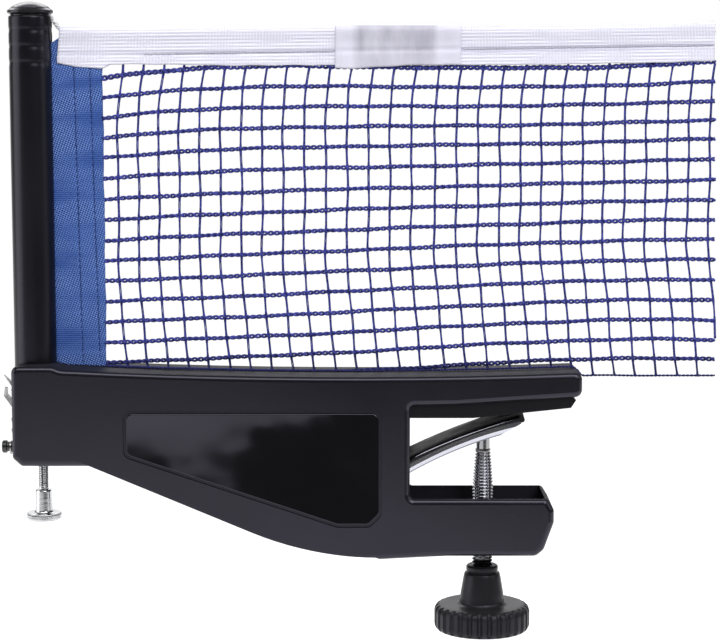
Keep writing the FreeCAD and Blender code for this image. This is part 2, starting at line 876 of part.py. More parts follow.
def screw_thrust_tip():
    """The smooth domed tip that presses the lever while the screw turns behind it."""
    r, top = d.screw_tip_radius, d.screw_tip_top
    foot = d.screw_tip_base - d.spigot_length
    diagonal = math.sqrt(0.5)
    return turned("screw_thrust_tip", d.screw_x, 0, [
        (0, top),
        (r * diagonal, top - r * (1 - diagonal), "via"),
        (r, top - r),
        (r, d.screw_tip_base),
        (d.spigot_radius, d.screw_tip_base),
        (d.spigot_radius, foot),
        (0, foot),
    ])


def clamp_screw():
    """The threaded rod, drawn at its outer size, with a long lead-in under its tip."""
    bore = d.spigot_radius + d.thread_gap
    top = d.screw_tip_base - d.thread_gap
    bore_end = top - d.spigot_length - 0.5
    return turned("clamp_screw", d.screw_x, 0, [
        (bore, top),
        (d.screw_tip_radius + 0.1, top),
        (d.screw_radius, d.screw_taper_end),
        (d.screw_radius, d.screw_bottom),
        (0, d.screw_bottom),
        (0, bore_end),
        (bore, bore_end),
    ])


def clamp_knob():
    """The moulded knob: a collar, a flared neck and a broad fluted disc, dished below."""
    edge = d.knob_edge
    body = turned("clamp_knob", d.screw_x, 0, [
        (d.screw_radius, d.knob_top),
        (d.knob_collar_radius, d.knob_top),
        (d.knob_collar_radius, d.knob_collar_base),
        (d.knob_neck_top_radius, d.knob_collar_base - 0.5),
        (d.knob_neck_base_radius - 0.6, d.knob_disc_top + 4.5),
        (d.knob_neck_base_radius, d.knob_disc_top),
        (d.knob_radius - edge * 1.5, d.knob_disc_top),
        (d.knob_radius - edge / 2, d.knob_disc_top - edge / 2),
        (d.knob_radius, d.knob_disc_shoulder),
        (d.knob_radius, d.knob_disc_base + edge),
        (d.knob_radius - edge, d.knob_disc_base),
        (d.knob_dish_radius, d.knob_disc_base),
        (d.knob_dish_radius - 0.8, d.knob_disc_base + d.knob_dish_depth),
        (0, d.knob_disc_base + d.knob_dish_depth),
        (0, d.screw_bottom),
        (d.screw_radius, d.screw_bottom),
    ])
    flute = new_sketch(body, "flute_outline", "XY_Plane", d.knob_disc_top + 1)
    circle(flute, d.screw_x + d.knob_radius + d.flute_radius - d.flute_depth, 0, d.flute_radius)
    cut = pocket(body, "flute", flute, d.knob_disc_top - d.knob_disc_base + 2)
    axis_sketch = new_sketch(body, "knob_centre", "XY_Plane", shift=(d.screw_x, 0))
    circle(axis_sketch, 0, 0, d.screw_radius)
    ring = body.newObject("PartDesign::PolarPattern", "flutes")
    ring.Originals = [cut]
    ring.Axis = (axis_sketch, ["N_Axis"])
    ring.Angle = 360.0
    ring.Occurrences = int(d.knob_flutes.value)
    ring.setExpression("Occurrences", d.knob_flutes.text)
    body.Tip = ring
    doc.recompute()
    return body


def post_tube():
    """The net post: a tube with a slot along its net side and three rolled rings near its
    top."""
    body = new_body("post_tube")
    section = new_sketch(body, "tube_outline", "XY_Plane", d.post_base)
    circle(section, d.post_x, 0, d.post_radius)
    circle(section, d.post_x, 0, d.post_radius - d.post_wall)
    pad(body, "tube", section, d.post_top - d.post_base)
    slot = new_sketch(body, "slot_outline", "XY_Plane", d.post_top + 1)
    half = d.slot_width / 2
    box_outline(slot, d.post_x + d.post_radius / 2, -half, d.post_x + d.post_radius + 1, half)
    pocket(body, "slot", slot, d.post_top - d.post_base + 2)
    for order in range(3):
        ring = new_sketch(body, f"ring_profile_{order}", "XZ_Plane", shift=(d.post_x, 0))
        level = d.ring_top - d.ring_pitch * order
        out = d.post_radius + 0.5
        outline(ring, [
            (out, level + d.ring_height / 2),
            (out, level - d.ring_height / 2),
            (d.post_radius, level - d.ring_height / 2),
            (d.post_radius - d.ring_depth, level, "via"),
            (d.post_radius, level + d.ring_height / 2),
        ])
        cut_groove(body, f"ring_{order}", ring)
    return body


def post_cap():
    """The domed cap: the dome ends at a small step above its undercut rim. A plug holds it
    in the tube, and a notch lets the net cord through."""
    out, drop = dome_middle(d.cap_step_radius, d.cap_crown - d.cap_step)
    body = turned("post_cap", d.post_x, 0, [
        (0, d.cap_crown),
        (out, d.cap_crown - drop, "via"),
        (d.cap_step_radius, d.cap_step),
        (d.cap_step_radius + 0.1, d.cap_step - d.cap_step_height),
        (d.cap_rim_radius, d.cap_rim),
        (d.cap_rim_radius, d.cap_rim - d.cap_rim_height),
        (d.cap_neck_radius, d.post_top + 0.4),
        (d.cap_neck_radius, d.post_top),
        (d.cap_plug_radius, d.post_top),
        (d.cap_plug_radius, d.cap_plug_base),
        (0, d.cap_plug_base),
    ])
    half = d.cap_notch_width / 2
    notch = new_sketch(body, "notch_outline", "XY_Plane", d.cap_crown + 1)
    box_outline(notch, d.cap_notch_x, -half, d.post_x + d.cap_rim_radius + 1, half)
    pocket(body, "notch", notch, d.cap_crown - d.cap_plug_base + 2)
    return body


def post_foot():
    """The plug in the tube's lower end, with the stem that slides in the head and takes the
    thrust of the height screw."""
    return turned("post_foot", d.post_x, 0, [
        (0, d.foot_plug_top),
        (d.foot_plug_radius, d.foot_plug_top),
        (d.foot_plug_radius, d.post_base),
        (d.stem_radius, d.post_base),
        (d.stem_radius, d.stem_base),
        (0, d.stem_base),
    ])


def post_guide_bush():
    """The block in the bracket's head that guides the post's stem, open towards the end
    wall. The tube stands on it at its lowest setting."""
    body = new_body("post_guide_bush")
    half = HALF_DEPTH - d.sheet_thick - d.guide_fit
    base = new_sketch(body, "guide_outline", "XY_Plane", d.guide_base)
    box_outline(base, d.guide_left_x, -half, d.guide_right_x, half)
    pad(body, "guide_block", base, d.guide_top - d.guide_base)
    bore = new_sketch(body, "guide_bore_outline", "XY_Plane", d.guide_top + 1)
    circle(bore, d.post_x, 0, d.stem_radius + d.guide_gap)
    pocket(body, "guide_bore", bore, d.guide_top - d.guide_base + 2)
    return body


def height_screw():
    """The knurled thumb screw that lifts the post: shank, barrel and disc in one piece."""
    edge = d.lift_disc_edge
    base = d.lift_disc_top - d.lift_disc_height
    return turned("height_screw", d.lift_x, 0, [
        (0, d.lift_tip),
        (d.lift_radius - 0.5, d.lift_tip),
        (d.lift_radius, d.lift_tip - 0.7),
        (d.lift_radius, d.lift_barrel_top),
        (d.lift_barrel_radius - d.lift_barrel_chamfer, d.lift_barrel_top),
        (d.lift_barrel_radius, d.lift_barrel_top - d.lift_barrel_chamfer),
        (d.lift_barrel_radius, d.lift_disc_top),
        (d.lift_disc_radius - edge, d.lift_disc_top),
        (d.lift_disc_radius, d.lift_disc_top - edge),
        (d.lift_disc_radius, base + edge),
        (d.lift_disc_radius - edge, base),
        (0, base),
    ])


def taper_sides(body, name, near, reach, wide, low, narrow, high):
    """Cuts both sides of a prong so that it narrows evenly from a half width of wide at the
    height low to narrow at the height high. The cut starts at X = near and goes on for
    reach."""
    for side_name, side in (("front", -1), ("rear", 1)):
        cut = new_sketch(body, f"{name}_{side_name}_side", "YZ_Plane", near)
        outline(cut, [
            (wide * side, low),
            ((wide + 1) * side, low),
            ((wide + 1) * side, high + 1),
            (narrow * side, high + 1),
            (narrow * side, high),
        ])
        pocket(body, f"{name}_{side_name}_cut", cut, reach, reverse=True)


def tension_cleat():
    """The spring strip on the end wall: its upper end is bent out, and a tongue cut from it
    is bent out below, so that the net cord jams between the two. Both narrow to their
    tips."""
    body = new_body("tension_cleat")
    thick, wall = d.cleat_thick, d.wall_x
    strip = new_sketch(body, "strip_outline", "XZ_Plane")
    outline(strip, [
        (wall, d.cleat_base),
        (wall - thick, d.cleat_base),
        (wall - thick, d.cleat_bend - thick / 2),
        (wall - d.prong_tip_out, d.prong_tip),
        (wall - d.prong_tip_out + thick * 0.8, d.prong_tip + thick * 0.6),
        (wall, d.cleat_bend),
    ])
    pad(body, "strip", strip, d.cleat_width, centred=True)
    half = d.tongue_width / 2 + 0.4
    window = new_sketch(body, "window_outline", "YZ_Plane", wall - thick - 1)
    box_outline(window, -half, d.tongue_root, half, d.cleat_bend - 1.6)
    pocket(body, "window", window, thick + 2, reverse=True)
    tongue = new_sketch(body, "tongue_outline", "XZ_Plane")
    outline(tongue, [
        (wall, d.tongue_root - 1.0),
        (wall - thick, d.tongue_root - 1.0),
        (wall - d.tongue_mid_out - thick / 2, d.tongue_mid),
        (wall - d.tongue_tip_out - thick / 2, d.tongue_tip),
        (wall - d.tongue_tip_out + thick / 2, d.tongue_tip),
        (wall - d.tongue_mid_out + thick / 2, d.tongue_mid + 0.3),
        (wall, d.tongue_root + 0.7),
    ])
    pad(body, "tongue", tongue, d.tongue_width, centred=True)
    taper_sides(body, "prong", wall - d.prong_tip_out - 1, d.prong_tip_out + 2,
                d.cleat_width / 2, d.cleat_bend + 0.5,
                d.prong_tip_width / 2, d.prong_tip + thick)
    taper_sides(body, "tongue", wall - d.tongue_mid_out - 1, Size.of(2.2),
                d.tongue_width / 2, d.tongue_mid,
                d.tongue_tip_width / 2, d.tongue_tip)
    holes = new_sketch(body, "rivet_hole_outlines", "YZ_Plane", wall - thick - 1)
    circle(holes, 0, d.rivet_upper, d.rivet_shank_radius)
    circle(holes, 0, d.rivet_upper - d.rivet_pitch, d.rivet_shank_radius)
    pocket(body, "rivet_holes", holes, thick + 2, reverse=True)
    return body


def cleat_rivets():
    """The two domed rivets that hold the cleat to the end wall, flush on its inner face."""
    wall = d.wall_x
    seat, back = wall - d.cleat_thick, wall + d.sheet_thick
    head, shank = d.rivet_head_radius, d.rivet_shank_radius
    out, drop = dome_middle(head, d.rivet_head_height)
    top = seat - d.rivet_head_height
    body = turned("cleat_rivets", 0, d.rivet_upper, [
        (top, 0),
        (top + drop, out, "via"),
        (seat, head),
        (seat, shank),
        (back, shank),
        (back, 0),
    ], axis="H_Axis")
    body.AllowCompound = True
    pair = body.newObject("PartDesign::LinearPattern", "rivet_pair")
    pair.Originals = [doc.getObject("cleat_rivets_turning")]
    pair.Direction = (doc.getObject("cleat_rivets_profile"), ["V_Axis"])
    pair.Reversed = True
    pair.Occurrences = 2
    bind(pair, "Length", d.rivet_pitch)
    body.Tip = pair
    doc.recompute()
    return body


def cord_clamp():
    """The clinch nut in the end wall, the loose washer and the small thumb screw that grip
    the end of a net cord."""
    wall = d.wall_x
    bore = d.grip_screw_radius + d.grip_screw_gap
    face = wall - d.grip_nut_flange
    back = wall + d.sheet_thick + d.grip_nut_tail
    turned("cord_clamp_nut", 0, d.grip_screw_z, [
        (face, bore),
        (face, d.grip_nut_radius),
        (wall, d.grip_nut_radius),
        (wall, d.grip_nut_shank_radius),
        (back, d.grip_nut_shank_radius),
        (back, bore),
    ], axis="H_Axis")
    seat = face - d.grip_screw_gap
    rim = seat - d.grip_washer_thick
    turned("cord_clamp_washer", 0, d.grip_screw_z - d.grip_washer_drop, [
        (rim, d.grip_washer_bore),
        (rim, d.grip_washer_radius),
        (seat, d.grip_washer_radius),
        (seat, d.grip_washer_bore),
    ], axis="H_Axis")
    waist = rim - d.grip_screw_gap
    shoulder = waist - d.grip_waist_length
    end = shoulder - d.grip_head_length
    turned("cord_clamp_screw", 0, d.grip_screw_z, [
        (end, 0),
        (end, d.grip_head_radius - 0.3),
        (end + 0.3, d.grip_head_radius),
        (shoulder - 0.2, d.grip_head_radius),
        (shoulder, d.grip_waist_radius),
        (waist, d.grip_waist_radius),
        (waist, d.grip_screw_radius),
        (wall + d.grip_screw_inner, d.grip_screw_radius),
        (wall + d.grip_screw_inner, 0),
    ], axis="H_Axis")


def tape_section(grow):
    """Half-round over the cord, then straight down both sides, all moved out by grow."""
    waist = d.tape_thick / 2 + grow
    fold = d.tape_fold_radius + grow
    return [
        (-waist, d.net_top),
        (-waist, d.tape_shoulder),
        (-fold, d.cord_height),
        (0, d.cord_height + fold, "via"),
        (fold, d.cord_height),
        (waist, d.tape_shoulder),
        (waist, d.net_top),
    ]


def top_tape():
    """The white band folded over the net's top edge, with the tunnel for the net cord."""
    body = new_body("top_tape")
    section = new_sketch(body, "tape_section", "YZ_Plane", d.tape_left_x)
    outline(section, tape_section(Size.of(0)))
    circle(section, 0, d.cord_height, d.cord_radius + d.cord_bore_gap)
    pad(body, "tape", section, d.net_right_x - d.tape_left_x)
    mouth = new_sketch(body, "mouth_outline", "XZ_Plane")
    box_outline(mouth, d.tape_left_x - 1, d.tape_mouth, d.tape_mouth_x, d.cap_rim)
    pocket(body, "cord_mouth", mouth, d.tape_fold_radius * 4, centred=True)
    return body


def tape_label():
    """The satin patch folded over the tape and sewn to both its sides, bare."""
    body = new_body("tape_label")
    section = new_sketch(body, "label_section", "YZ_Plane", d.label_left_x)
    outline(section, tape_section(d.label_thick) + tape_section(Size.of(0))[::-1])
    pad(body, "label", section, d.label_right_x - d.label_left_x)
    return body


def net_sleeve():
    """The fabric strip that joins the net to the post through the post's slot."""
    body = new_body("net_sleeve")
    shape = new_sketch(body, "sleeve_outline", "XZ_Plane")
    outline(shape, [
        (d.sleeve_left_x, d.sleeve_heel),
        (d.sleeve_left_x, d.sleeve_corner),
        (d.post_x + d.post_radius, d.sleeve_corner),
        (d.tape_left_x, d.sleeve_top),
        (d.tape_left_x, d.net_top),
        (d.net_left_x, d.net_top),
        (d.net_left_x, d.sleeve_base),
        (d.sleeve_heel_x + 1.5, d.sleeve_base),
        (d.sleeve_heel_x, d.sleeve_heel),
    ])
    pad(body, "sleeve", shape, d.sleeve_thick, centred=True)
    return body


def new_feature(label, shape):
    """A sub-part whose shape is worked out directly from the sheet's sizes."""
    feature = doc.addObject("Part::Feature", label)
    feature.Label = label
    feature.Shape = shape
    feature.Placement = FreeCAD.Placement()
    SUB_PARTS.append(feature)
    return feature


def rectangle_wire(x0, z0, x1, z1, y):
    corners = [(x0, z0), (x1, z0), (x1, z1), (x0, z1), (x0, z0)]
    return Part.makePolygon([FreeCAD.Vector(x, y, z) for x, z in corners])


def net_mesh():
    """The net as one flat face with a gap for each mesh, given its thickness."""
    left, right = d.net_left_x.value, d.net_right_x.value
    low, high = d.net_base.value, d.net_top.value
    columns, rows = int(d.net_columns.value), int(d.net_rows.value)
    strand, thick = d.net_strand.value, d.net_thick.value
    step_x = (right - left - strand) / columns
    step_z = (high - low - strand) / rows
    wires = [rectangle_wire(left, low, right, high, -thick / 2)]
    for column in range(columns):
        x = left + strand + column * step_x
        for row in range(rows):
            z = low + strand + row * step_z
            wires.append(rectangle_wire(
                x, z, x + step_x - strand, z + step_z - strand, -thick / 2
            ))
    face = Part.Face(wires, "Part::FaceMakerBullseye")
    return new_feature("net_mesh", face.extrude(FreeCAD.Vector(0, thick, 0)))


def rounded_path(points, largest):
    """Straight runs joined by arcs, each as large as its two runs allow, up to largest."""
    edges = []
    radii = []
    start = points[0]
    for i in range(1, len(points) - 1):
        before, corner, after = points[i - 1], points[i], points[i + 1]
        to_before, to_after = before - corner, after - corner
        reach = 0.45 * min(to_before.Length, to_after.Length)
        turn = math.pi - to_before.getAngle(to_after)
        bend = min(reach / math.tan(turn / 2), largest)
        reach = bend * math.tan(turn / 2)
        radii.append(bend)
        to_before.normalize()
        to_after.normalize()
        first, last = corner + to_before * reach, corner + to_after * reach
        bisector = (to_before + to_after).normalize()
        nearest = corner + bisector * (math.hypot(bend, reach) - bend)
        edges.append(Part.LineSegment(start, first).toShape())
        edges.append(Part.Arc(first, nearest, last).toShape())
        start = last
    edges.append(Part.LineSegment(start, points[-1]).toShape())
    return Part.Wire(edges), radii


def net_cord():
    """The tension cord: straight through the tape, up over the rim of the tube in the cap's
    notch, and down to its knot inside the tube."""
    level = d.cord_height.value
    points = [FreeCAD.Vector(d.net_right_x.value, 0, level)]
    points += [FreeCAD.Vector(x, 0, z) for x, z in NET_CORD_ROUTE]
    radius = d.cord_radius.value
    path, radii = rounded_path(points, d.cord_bend.value)
    ring = Part.Wire([Part.makeCircle(radius, points[0], FreeCAD.Vector(1, 0, 0))])
    cord = path.makePipeShell([ring], True, False)
    expected = math.pi * radius ** 2 * path.Length
    print("net cord", round(path.Length, 1), "mm long, bend radii",
          [round(bend, 2) for bend in radii], "volume share", round(cord.Volume / expected, 3))
    knot = Part.makeSphere(d.knot_radius.value, points[-1])
    return new_feature("net_cord", cord.fuse(knot))


def build():
    sheet = d.sheet_thick
    bracket_shell()
    front_decal()
    upper_jaw_pad()
    weld_nut("clamp_nut", d.screw_x, d.jaw_base + sheet, d.clamp_nut_flats,
             d.clamp_nut_height, d.screw_radius + d.thread_gap)
    weld_nut("height_screw_nut", d.lift_x, d.head_base + sheet, d.lift_nut_flats,
             d.lift_nut_height, d.lift_radius + d.thread_gap)
    pin_length = d.bracket_depth - (sheet + d.recess_depth) * 2
    straight_rod("lever_pivot_pin", "XZ_Plane", d.pivot_x, d.pivot_z, -pin_length / 2,
                 pin_length, d.pin_radius)
    post_guide_bush()
    tension_cleat()
    cleat_rivets()
    cord_clamp()
    pressure_lever()
    lever_pad()
    screw_thrust_tip()
    clamp_screw()
    clamp_knob()
    height_screw()
    post_tube()
    post_cap()
    post_foot()
    net_sleeve()
    straight_rod("sleeve_rod", "XY_Plane", d.sleeve_left_x - d.rod_radius, 0,
                 d.sleeve_heel, d.rod_top - d.sleeve_heel, d.rod_radius)
    net_mesh()
    top_tape()
    tape_label()
    net_cord()
    straight_rod("bottom_cord", "YZ_Plane", 0, d.net_base - d.bottom_cord_radius,
                 d.net_left_x, d.net_right_x - d.net_left_x, d.bottom_cord_radius)
    doc.recompute()


def check_and_export():
    """Makes sure that nothing failed, then writes one file per sub-part."""
    for item in doc.Objects:
        if "Invalid" in item.State or "Error" in item.State:
            raise RuntimeError(f"{item.Name} failed: {item.State}")
    os.makedirs("parts", exist_ok=True)
    for part in SUB_PARTS:
        shape = part.Shape
        if shape.isNull() or not shape.isValid() or not shape.Solids:
            raise RuntimeError(f"{part.Label} has no valid solid")
    for part in SUB_PARTS:
        part.Shape.exportStep(f"parts/{part.Label}.step")
    print(len(SUB_PARTS), "sub-parts written")


build()
check_and_export()
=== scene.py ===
import math

import bmesh
import bpy
import numpy as np
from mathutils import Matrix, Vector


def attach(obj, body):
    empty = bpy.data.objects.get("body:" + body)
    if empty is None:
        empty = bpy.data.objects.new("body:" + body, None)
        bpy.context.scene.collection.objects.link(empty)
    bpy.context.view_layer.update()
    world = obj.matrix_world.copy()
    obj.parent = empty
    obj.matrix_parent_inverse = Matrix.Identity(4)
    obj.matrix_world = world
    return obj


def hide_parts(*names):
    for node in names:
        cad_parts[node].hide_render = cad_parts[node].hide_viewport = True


# Looks of a table tennis net clamp. Sizes are in millimetres and become metres in `piece`.

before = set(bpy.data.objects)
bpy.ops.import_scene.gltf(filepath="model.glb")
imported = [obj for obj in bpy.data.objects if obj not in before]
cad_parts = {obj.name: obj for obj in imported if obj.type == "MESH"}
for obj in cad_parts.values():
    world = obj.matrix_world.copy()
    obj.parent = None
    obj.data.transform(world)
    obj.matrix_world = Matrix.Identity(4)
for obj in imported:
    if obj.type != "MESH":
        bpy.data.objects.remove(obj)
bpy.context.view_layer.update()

MM = 0.001
TURN = 2 * np.pi
UP_Y = (0.0, 1.0, 0.0)

POST_X = -156.2
POST_RADIUS = 8.2
KNOT_X = -153.4
LIFT_X = -154.2
SCREW_X = 16.6
ARM_NOSE_X = 53.4
NET_LEFT = -129.4
CUT_X = 103.6
BAND_LEFT = -146.2
LABEL_LEFT, LABEL_RIGHT = -40.6, 7.2
SLEEVE_LEFT, SLEEVE_RIGHT = -149.9, -128.95
# The sewn line of the white band, as its two ends (x, z).
STITCH = ((-115.0, 137.9), (103.0, 141.3))


# ---------------------------------------------------------------- shapes

def ramp(value, low, high):
    """Smooth step from 0 at low to 1 at high."""
    t = np.clip((value - low) / (high - low), 0.0, 1.0)
    return t * t * (3 - 2 * t)


def softplus(value, scale):
    """A bend of the given size between 0 below and value above."""
    return scale * np.logaddexp(0.0, value / scale)


def bent_line(value, *corners):
    """Straight lines through (value, result) corners, level before the first and after the
    last."""
    return np.interp(value, *zip(*corners))


def unit(vectors):
    """Each vector divided by its length."""
    return vectors / np.linalg.norm(vectors, axis=1, keepdims=True)


def distance_along(path):
    """How far each point of a path lies from its start, measured along it."""
    return np.concatenate([[0.0], np.cumsum(np.linalg.norm(np.diff(path, axis=0), axis=1))])


def square_to(path):
    """Two unit vectors at each point of a path, square to its direction and to each other.
    The first is also square to the Y axis."""
    along = unit(np.gradient(path, axis=0))
    side = unit(np.cross(along, UP_Y))
    return side, np.cross(side, along)


def placed(name, data):
    """An object that holds the data, put into the scene."""
    made = bpy.data.objects.new(name, data)
    bpy.context.scene.collection.objects.link(made)
    return made


def piece(name, grids, body, material, replaces=(), wrap=True, cap=True, sharp=180,
          uv=None):
    """A mesh made of point grids (rows, points round, xyz). Neighbouring rows are joined by
    quads, each row is closed on itself where wrap is set, and its end rows are filled where
    cap is set too. Edges that bend by more than sharp degrees stay sharp. The mesh rides on
    a body and stands for the nodes in replaces."""
    points, quads, caps, start = [], [], [], 0
    for grid in grids:
        rows, around = grid.shape[:2]
        index = start + np.arange(rows * around).reshape(rows, around)
        following = np.roll(index, -1, axis=1) if wrap else index[:, 1:]
        here = index if wrap else index[:, :-1]
        quad = np.stack([here[:-1], following[:-1], following[1:], here[1:]], axis=-1)
        quads.append(quad.reshape(-1, 4))
        if cap and wrap:
            caps += [index[0][::-1].tolist(), index[-1].tolist()]
        points.append(grid.reshape(-1, 3))
        start += rows * around
    mesh = bpy.data.meshes.new(name)
    mesh.from_pydata((np.concatenate(points) * MM).tolist(), [],
                     np.concatenate(quads).tolist() + caps)
    if uv is not None:
        layer = mesh.uv_layers.new(name="along")
        corners = np.empty(len(mesh.loops), np.int32)
        mesh.loops.foreach_get("vertex_index", corners)
        layer.data.foreach_set("uv", uv.reshape(-1, 2)[corners].astype(np.float32).ravel())
    work = bmesh.new()
    work.from_mesh(mesh)
    bmesh.ops.remove_doubles(work, verts=work.verts, dist=1e-7)
    if wrap:
        bmesh.ops.recalc_face_normals(work, faces=work.faces)
    work.to_mesh(mesh)
    work.free()
    mesh.shade_smooth()
    mesh.set_sharp_from_angle(angle=math.radians(sharp))
    mesh.materials.append(material)
    made = placed(name, mesh)
    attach(made, body)
    if replaces:
        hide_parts(*replaces)
    return made


def tube(path, radius, sides):
    """A circle of the given radius carried along a path: each ring lies square to the
    path's direction, with the Y axis as its guide."""
    side, up = square_to(path)
    angle = (TURN * np.arange(sides) / sides)[None, :, None]
    radius = np.broadcast_to(radius, len(path))[:, None, None]
    return path[:, None] + radius * (side[:, None] * np.cos(angle) + up[:, None] * np.sin(angle))


def strands(path, count, offset, radius, lay, sides):
    """Tubes that wind round a path: each runs on a circle of radius offset about it, one
    turn per lay."""
    side, up = square_to(path)
    turns = distance_along(path) / lay
    made = []
    for order in range(count):
        angle = TURN * (turns + order / count)[:, None]
        made.append(tube(path + offset * (side * np.cos(angle) + up * np.sin(angle)), radius,
                         sides))
    return made


def rounded_profile(corners, size):
    """A profile of (radius, height) corners with each inner corner replaced by a short
    curve of four steps that leaves its two sides at up to size from it."""
    corners = np.array(corners, float)
    t = np.linspace(0, 1, 5)[:, None]
    line = [corners[0]]
    for before, corner, after in zip(corners[:-2], corners[1:-1], corners[2:]):
        back, on = before - corner, after - corner
        reach = min(size, 0.45 * np.linalg.norm(back), 0.45 * np.linalg.norm(on))
        first = corner + back / np.linalg.norm(back) * reach
        last = corner + on / np.linalg.norm(on) * reach
        line += list((1 - t) ** 2 * first + 2 * t * (1 - t) * corner + t ** 2 * last)
    line.append(corners[-1])
    return np.array(line)


def dense(profile, largest):
    """The same profile with its long sides divided, so that relief can follow them."""
    line = [profile[0]]
    for a, b in zip(profile[:-1], profile[1:]):
        count = max(1, int(np.ceil(np.linalg.norm(b - a) / largest)))
        line += list(a + (b - a) * (np.arange(1, count + 1) / count)[:, None])
    return np.array(line)


def turned(profile, x, around, relief):
    """A profile spun about the upright axis through x, Y = 0. relief gives how far the
    surface stands out at each angle and profile point."""
    angle = TURN * np.arange(around) / around
    radius = profile[:, 0][:, None] * np.ones(around)
    height = profile[:, 1][:, None] * np.ones(around)
    radius = radius + relief(angle[None, :], height, radius)
    return np.stack([x + radius * np.cos(angle), radius * np.sin(angle), height], axis=-1)


# ---------------------------------------------------------------- node trees and finishes

class Nodes:
    """A node tree, with short names for the nodes that the finishes and the light use."""

    def __init__(self, tree):
        self.tree = tree

    def node(self, kind, **settings):
        made = self.tree.nodes.new("ShaderNode" + kind)
        for key, value in settings.items():
            setattr(made, key, value)
        return made

    def feed(self, socket, value):
        """Links another node's output to a socket, or sets the socket to a plain value."""
        if isinstance(value, bpy.types.NodeSocket):
            self.tree.links.new(value, socket)
        else:
            socket.default_value = value

    def math(self, operation, a, b=0.0):
        made = self.node("Math", operation=operation)
        self.feed(made.inputs[0], a)
        self.feed(made.inputs[1], b)
        return made.outputs[0]

    def plus(self, a, b):
        return self.math("ADD", a, b)

    def minus(self, a, b):
        return self.math("SUBTRACT", a, b)

    def times(self, a, b):
        return self.math("MULTIPLY", a, b)

    def wave(self, value, period):
        """A sine wave from -1 to 1 that repeats each time value grows by period."""
        return self.math("SINE", self.times(value, TURN / period))

    def spread(self, value, low, high, start=0.3, stop=0.7, curve="LINEAR"):
        """Maps value from start..stop to low..high."""
        made = self.node("MapRange", interpolation_type=curve)
        for socket, number in zip(("From Min", "From Max", "To Min", "To Max"),
                                  (start, stop, low, high)):
            made.inputs[socket].default_value = number
        self.feed(made.inputs["Value"], value)
        return made.outputs[0]


class Finish(Nodes):
    """A surface finish and the small node chains that vary it over the piece."""

    def __init__(self, name, colour, roughness, metallic=0.0, specular=0.5, **sockets):
        self.material = bpy.data.materials.new(name)
        self.material.use_nodes = True
        super().__init__(self.material.node_tree)
        self.shader = self.tree.nodes["Principled BSDF"]
        values = {"Base Color": (*colour, 1.0), "Roughness": roughness,
                  "Metallic": metallic, "Specular IOR Level": specular, **sockets}
        for socket, value in values.items():
            self.shader.inputs[socket].default_value = value
        self.place = self.node("TexCoord").outputs["Object"]

    def axis(self, letter):
        """One object coordinate, in millimetres."""
        split = self.node("SeparateXYZ")
        self.feed(split.inputs[0], self.place)
        return self.times(split.outputs[letter], 1000.0)

    def noise(self, scale, detail=2.0, where=None):
        """Noise from 0 to 1 whose features are about 1000 / scale millimetres wide."""
        made = self.node("TexNoise")
        self.feed(made.inputs["Vector"], self.place if where is None else where)
        made.inputs["Scale"].default_value = scale
        made.inputs["Detail"].default_value = detail
        return made.outputs["Fac"]

    def streaks(self, scales, detail=2.0):
        """Noise with a scale of its own along X, Y and Z, for streaks and drawn lines."""
        mapping = self.node("Mapping")
        self.feed(mapping.inputs["Vector"], self.place)
        mapping.inputs["Scale"].default_value = scales
        return self.noise(1.0, detail, mapping.outputs[0])

    def mix(self, share, first, second):
        """Colour first where share is 0, second where it is 1."""
        made = self.node("Mix", data_type="RGBA")
        self.feed(made.inputs["Factor"], share)
        for name, colour in (("A", first), ("B", second)):
            socket = next(s for s in made.inputs if s.name == name and s.type == "RGBA")
            self.feed(socket, (*colour, 1.0) if isinstance(colour, tuple) else colour)
        return next(s for s in made.outputs if s.type == "RGBA")

    def colour(self, value):
        self.feed(self.shader.inputs["Base Color"], value)

    def roughness(self, value):
        self.feed(self.shader.inputs["Roughness"], value)

    def bump(self, height, depth):
        """Raises the surface by height times depth millimetres. Calls add up."""
        made = self.node("Bump")
        made.inputs["Strength"].default_value = 1.0
        made.inputs["Distance"].default_value = depth * MM
        self.feed(made.inputs["Height"], height)
        normal = self.shader.inputs["Normal"]
        if normal.is_linked:
            self.feed(made.inputs["Normal"], normal.links[0].from_socket)
        self.feed(normal, made.outputs[0])


# Black coats and mouldings reflect a little cooler than the lamps.
COOL = {"Specular Tint": (0.82, 0.79, 1.0, 1.0)}
# Up to the first distance from the middle plane lies the coat between the side plates, and
# from the second on the coat on their outside.
BETWEEN_PLATES, OUTSIDE_PLATES = 13.0, 14.4
# Noise scales along X, Y and Z, for drawn lines that lie level or stand upright.
DRAWN_LEVEL = (60.0, 60.0, 900.0)
DRAWN_UPRIGHT = (500.0, 500.0, 60.0)


def powder_coat(name, tone, roughness, specular=0.46, duller=0.0):
    """Satin black coat: a fine orange peel and a painted sheen that drifts over the sheet, as
    lighter, bluer patches of its colour. Between the two side plates, where the spray lands
    dry, it is rougher by duller."""
    light = (tone * 1.2, tone * 1.15, tone * 1.6)
    f = Finish(name, light, roughness, specular=specular, **COOL)
    # Painted sheen: the colour drifts between a darker tone and lighter, bluer patches.
    f.colour(f.mix(f.spread(f.noise(9.0), 0.0, 1.0), (tone * 0.8, tone * 0.8, tone), light))
    gloss = f.spread(f.noise(25.0, 4.0), roughness - 0.04, roughness + 0.04)
    if duller:
        from_middle = f.math("ABSOLUTE", f.axis("Y"))
        drier = f.spread(from_middle, duller, 0.0, BETWEEN_PLATES, OUTSIDE_PLATES)
        gloss = f.plus(gloss, drier)
    f.roughness(gloss)
    f.bump(f.noise(900.0), 0.008)
    return f.material


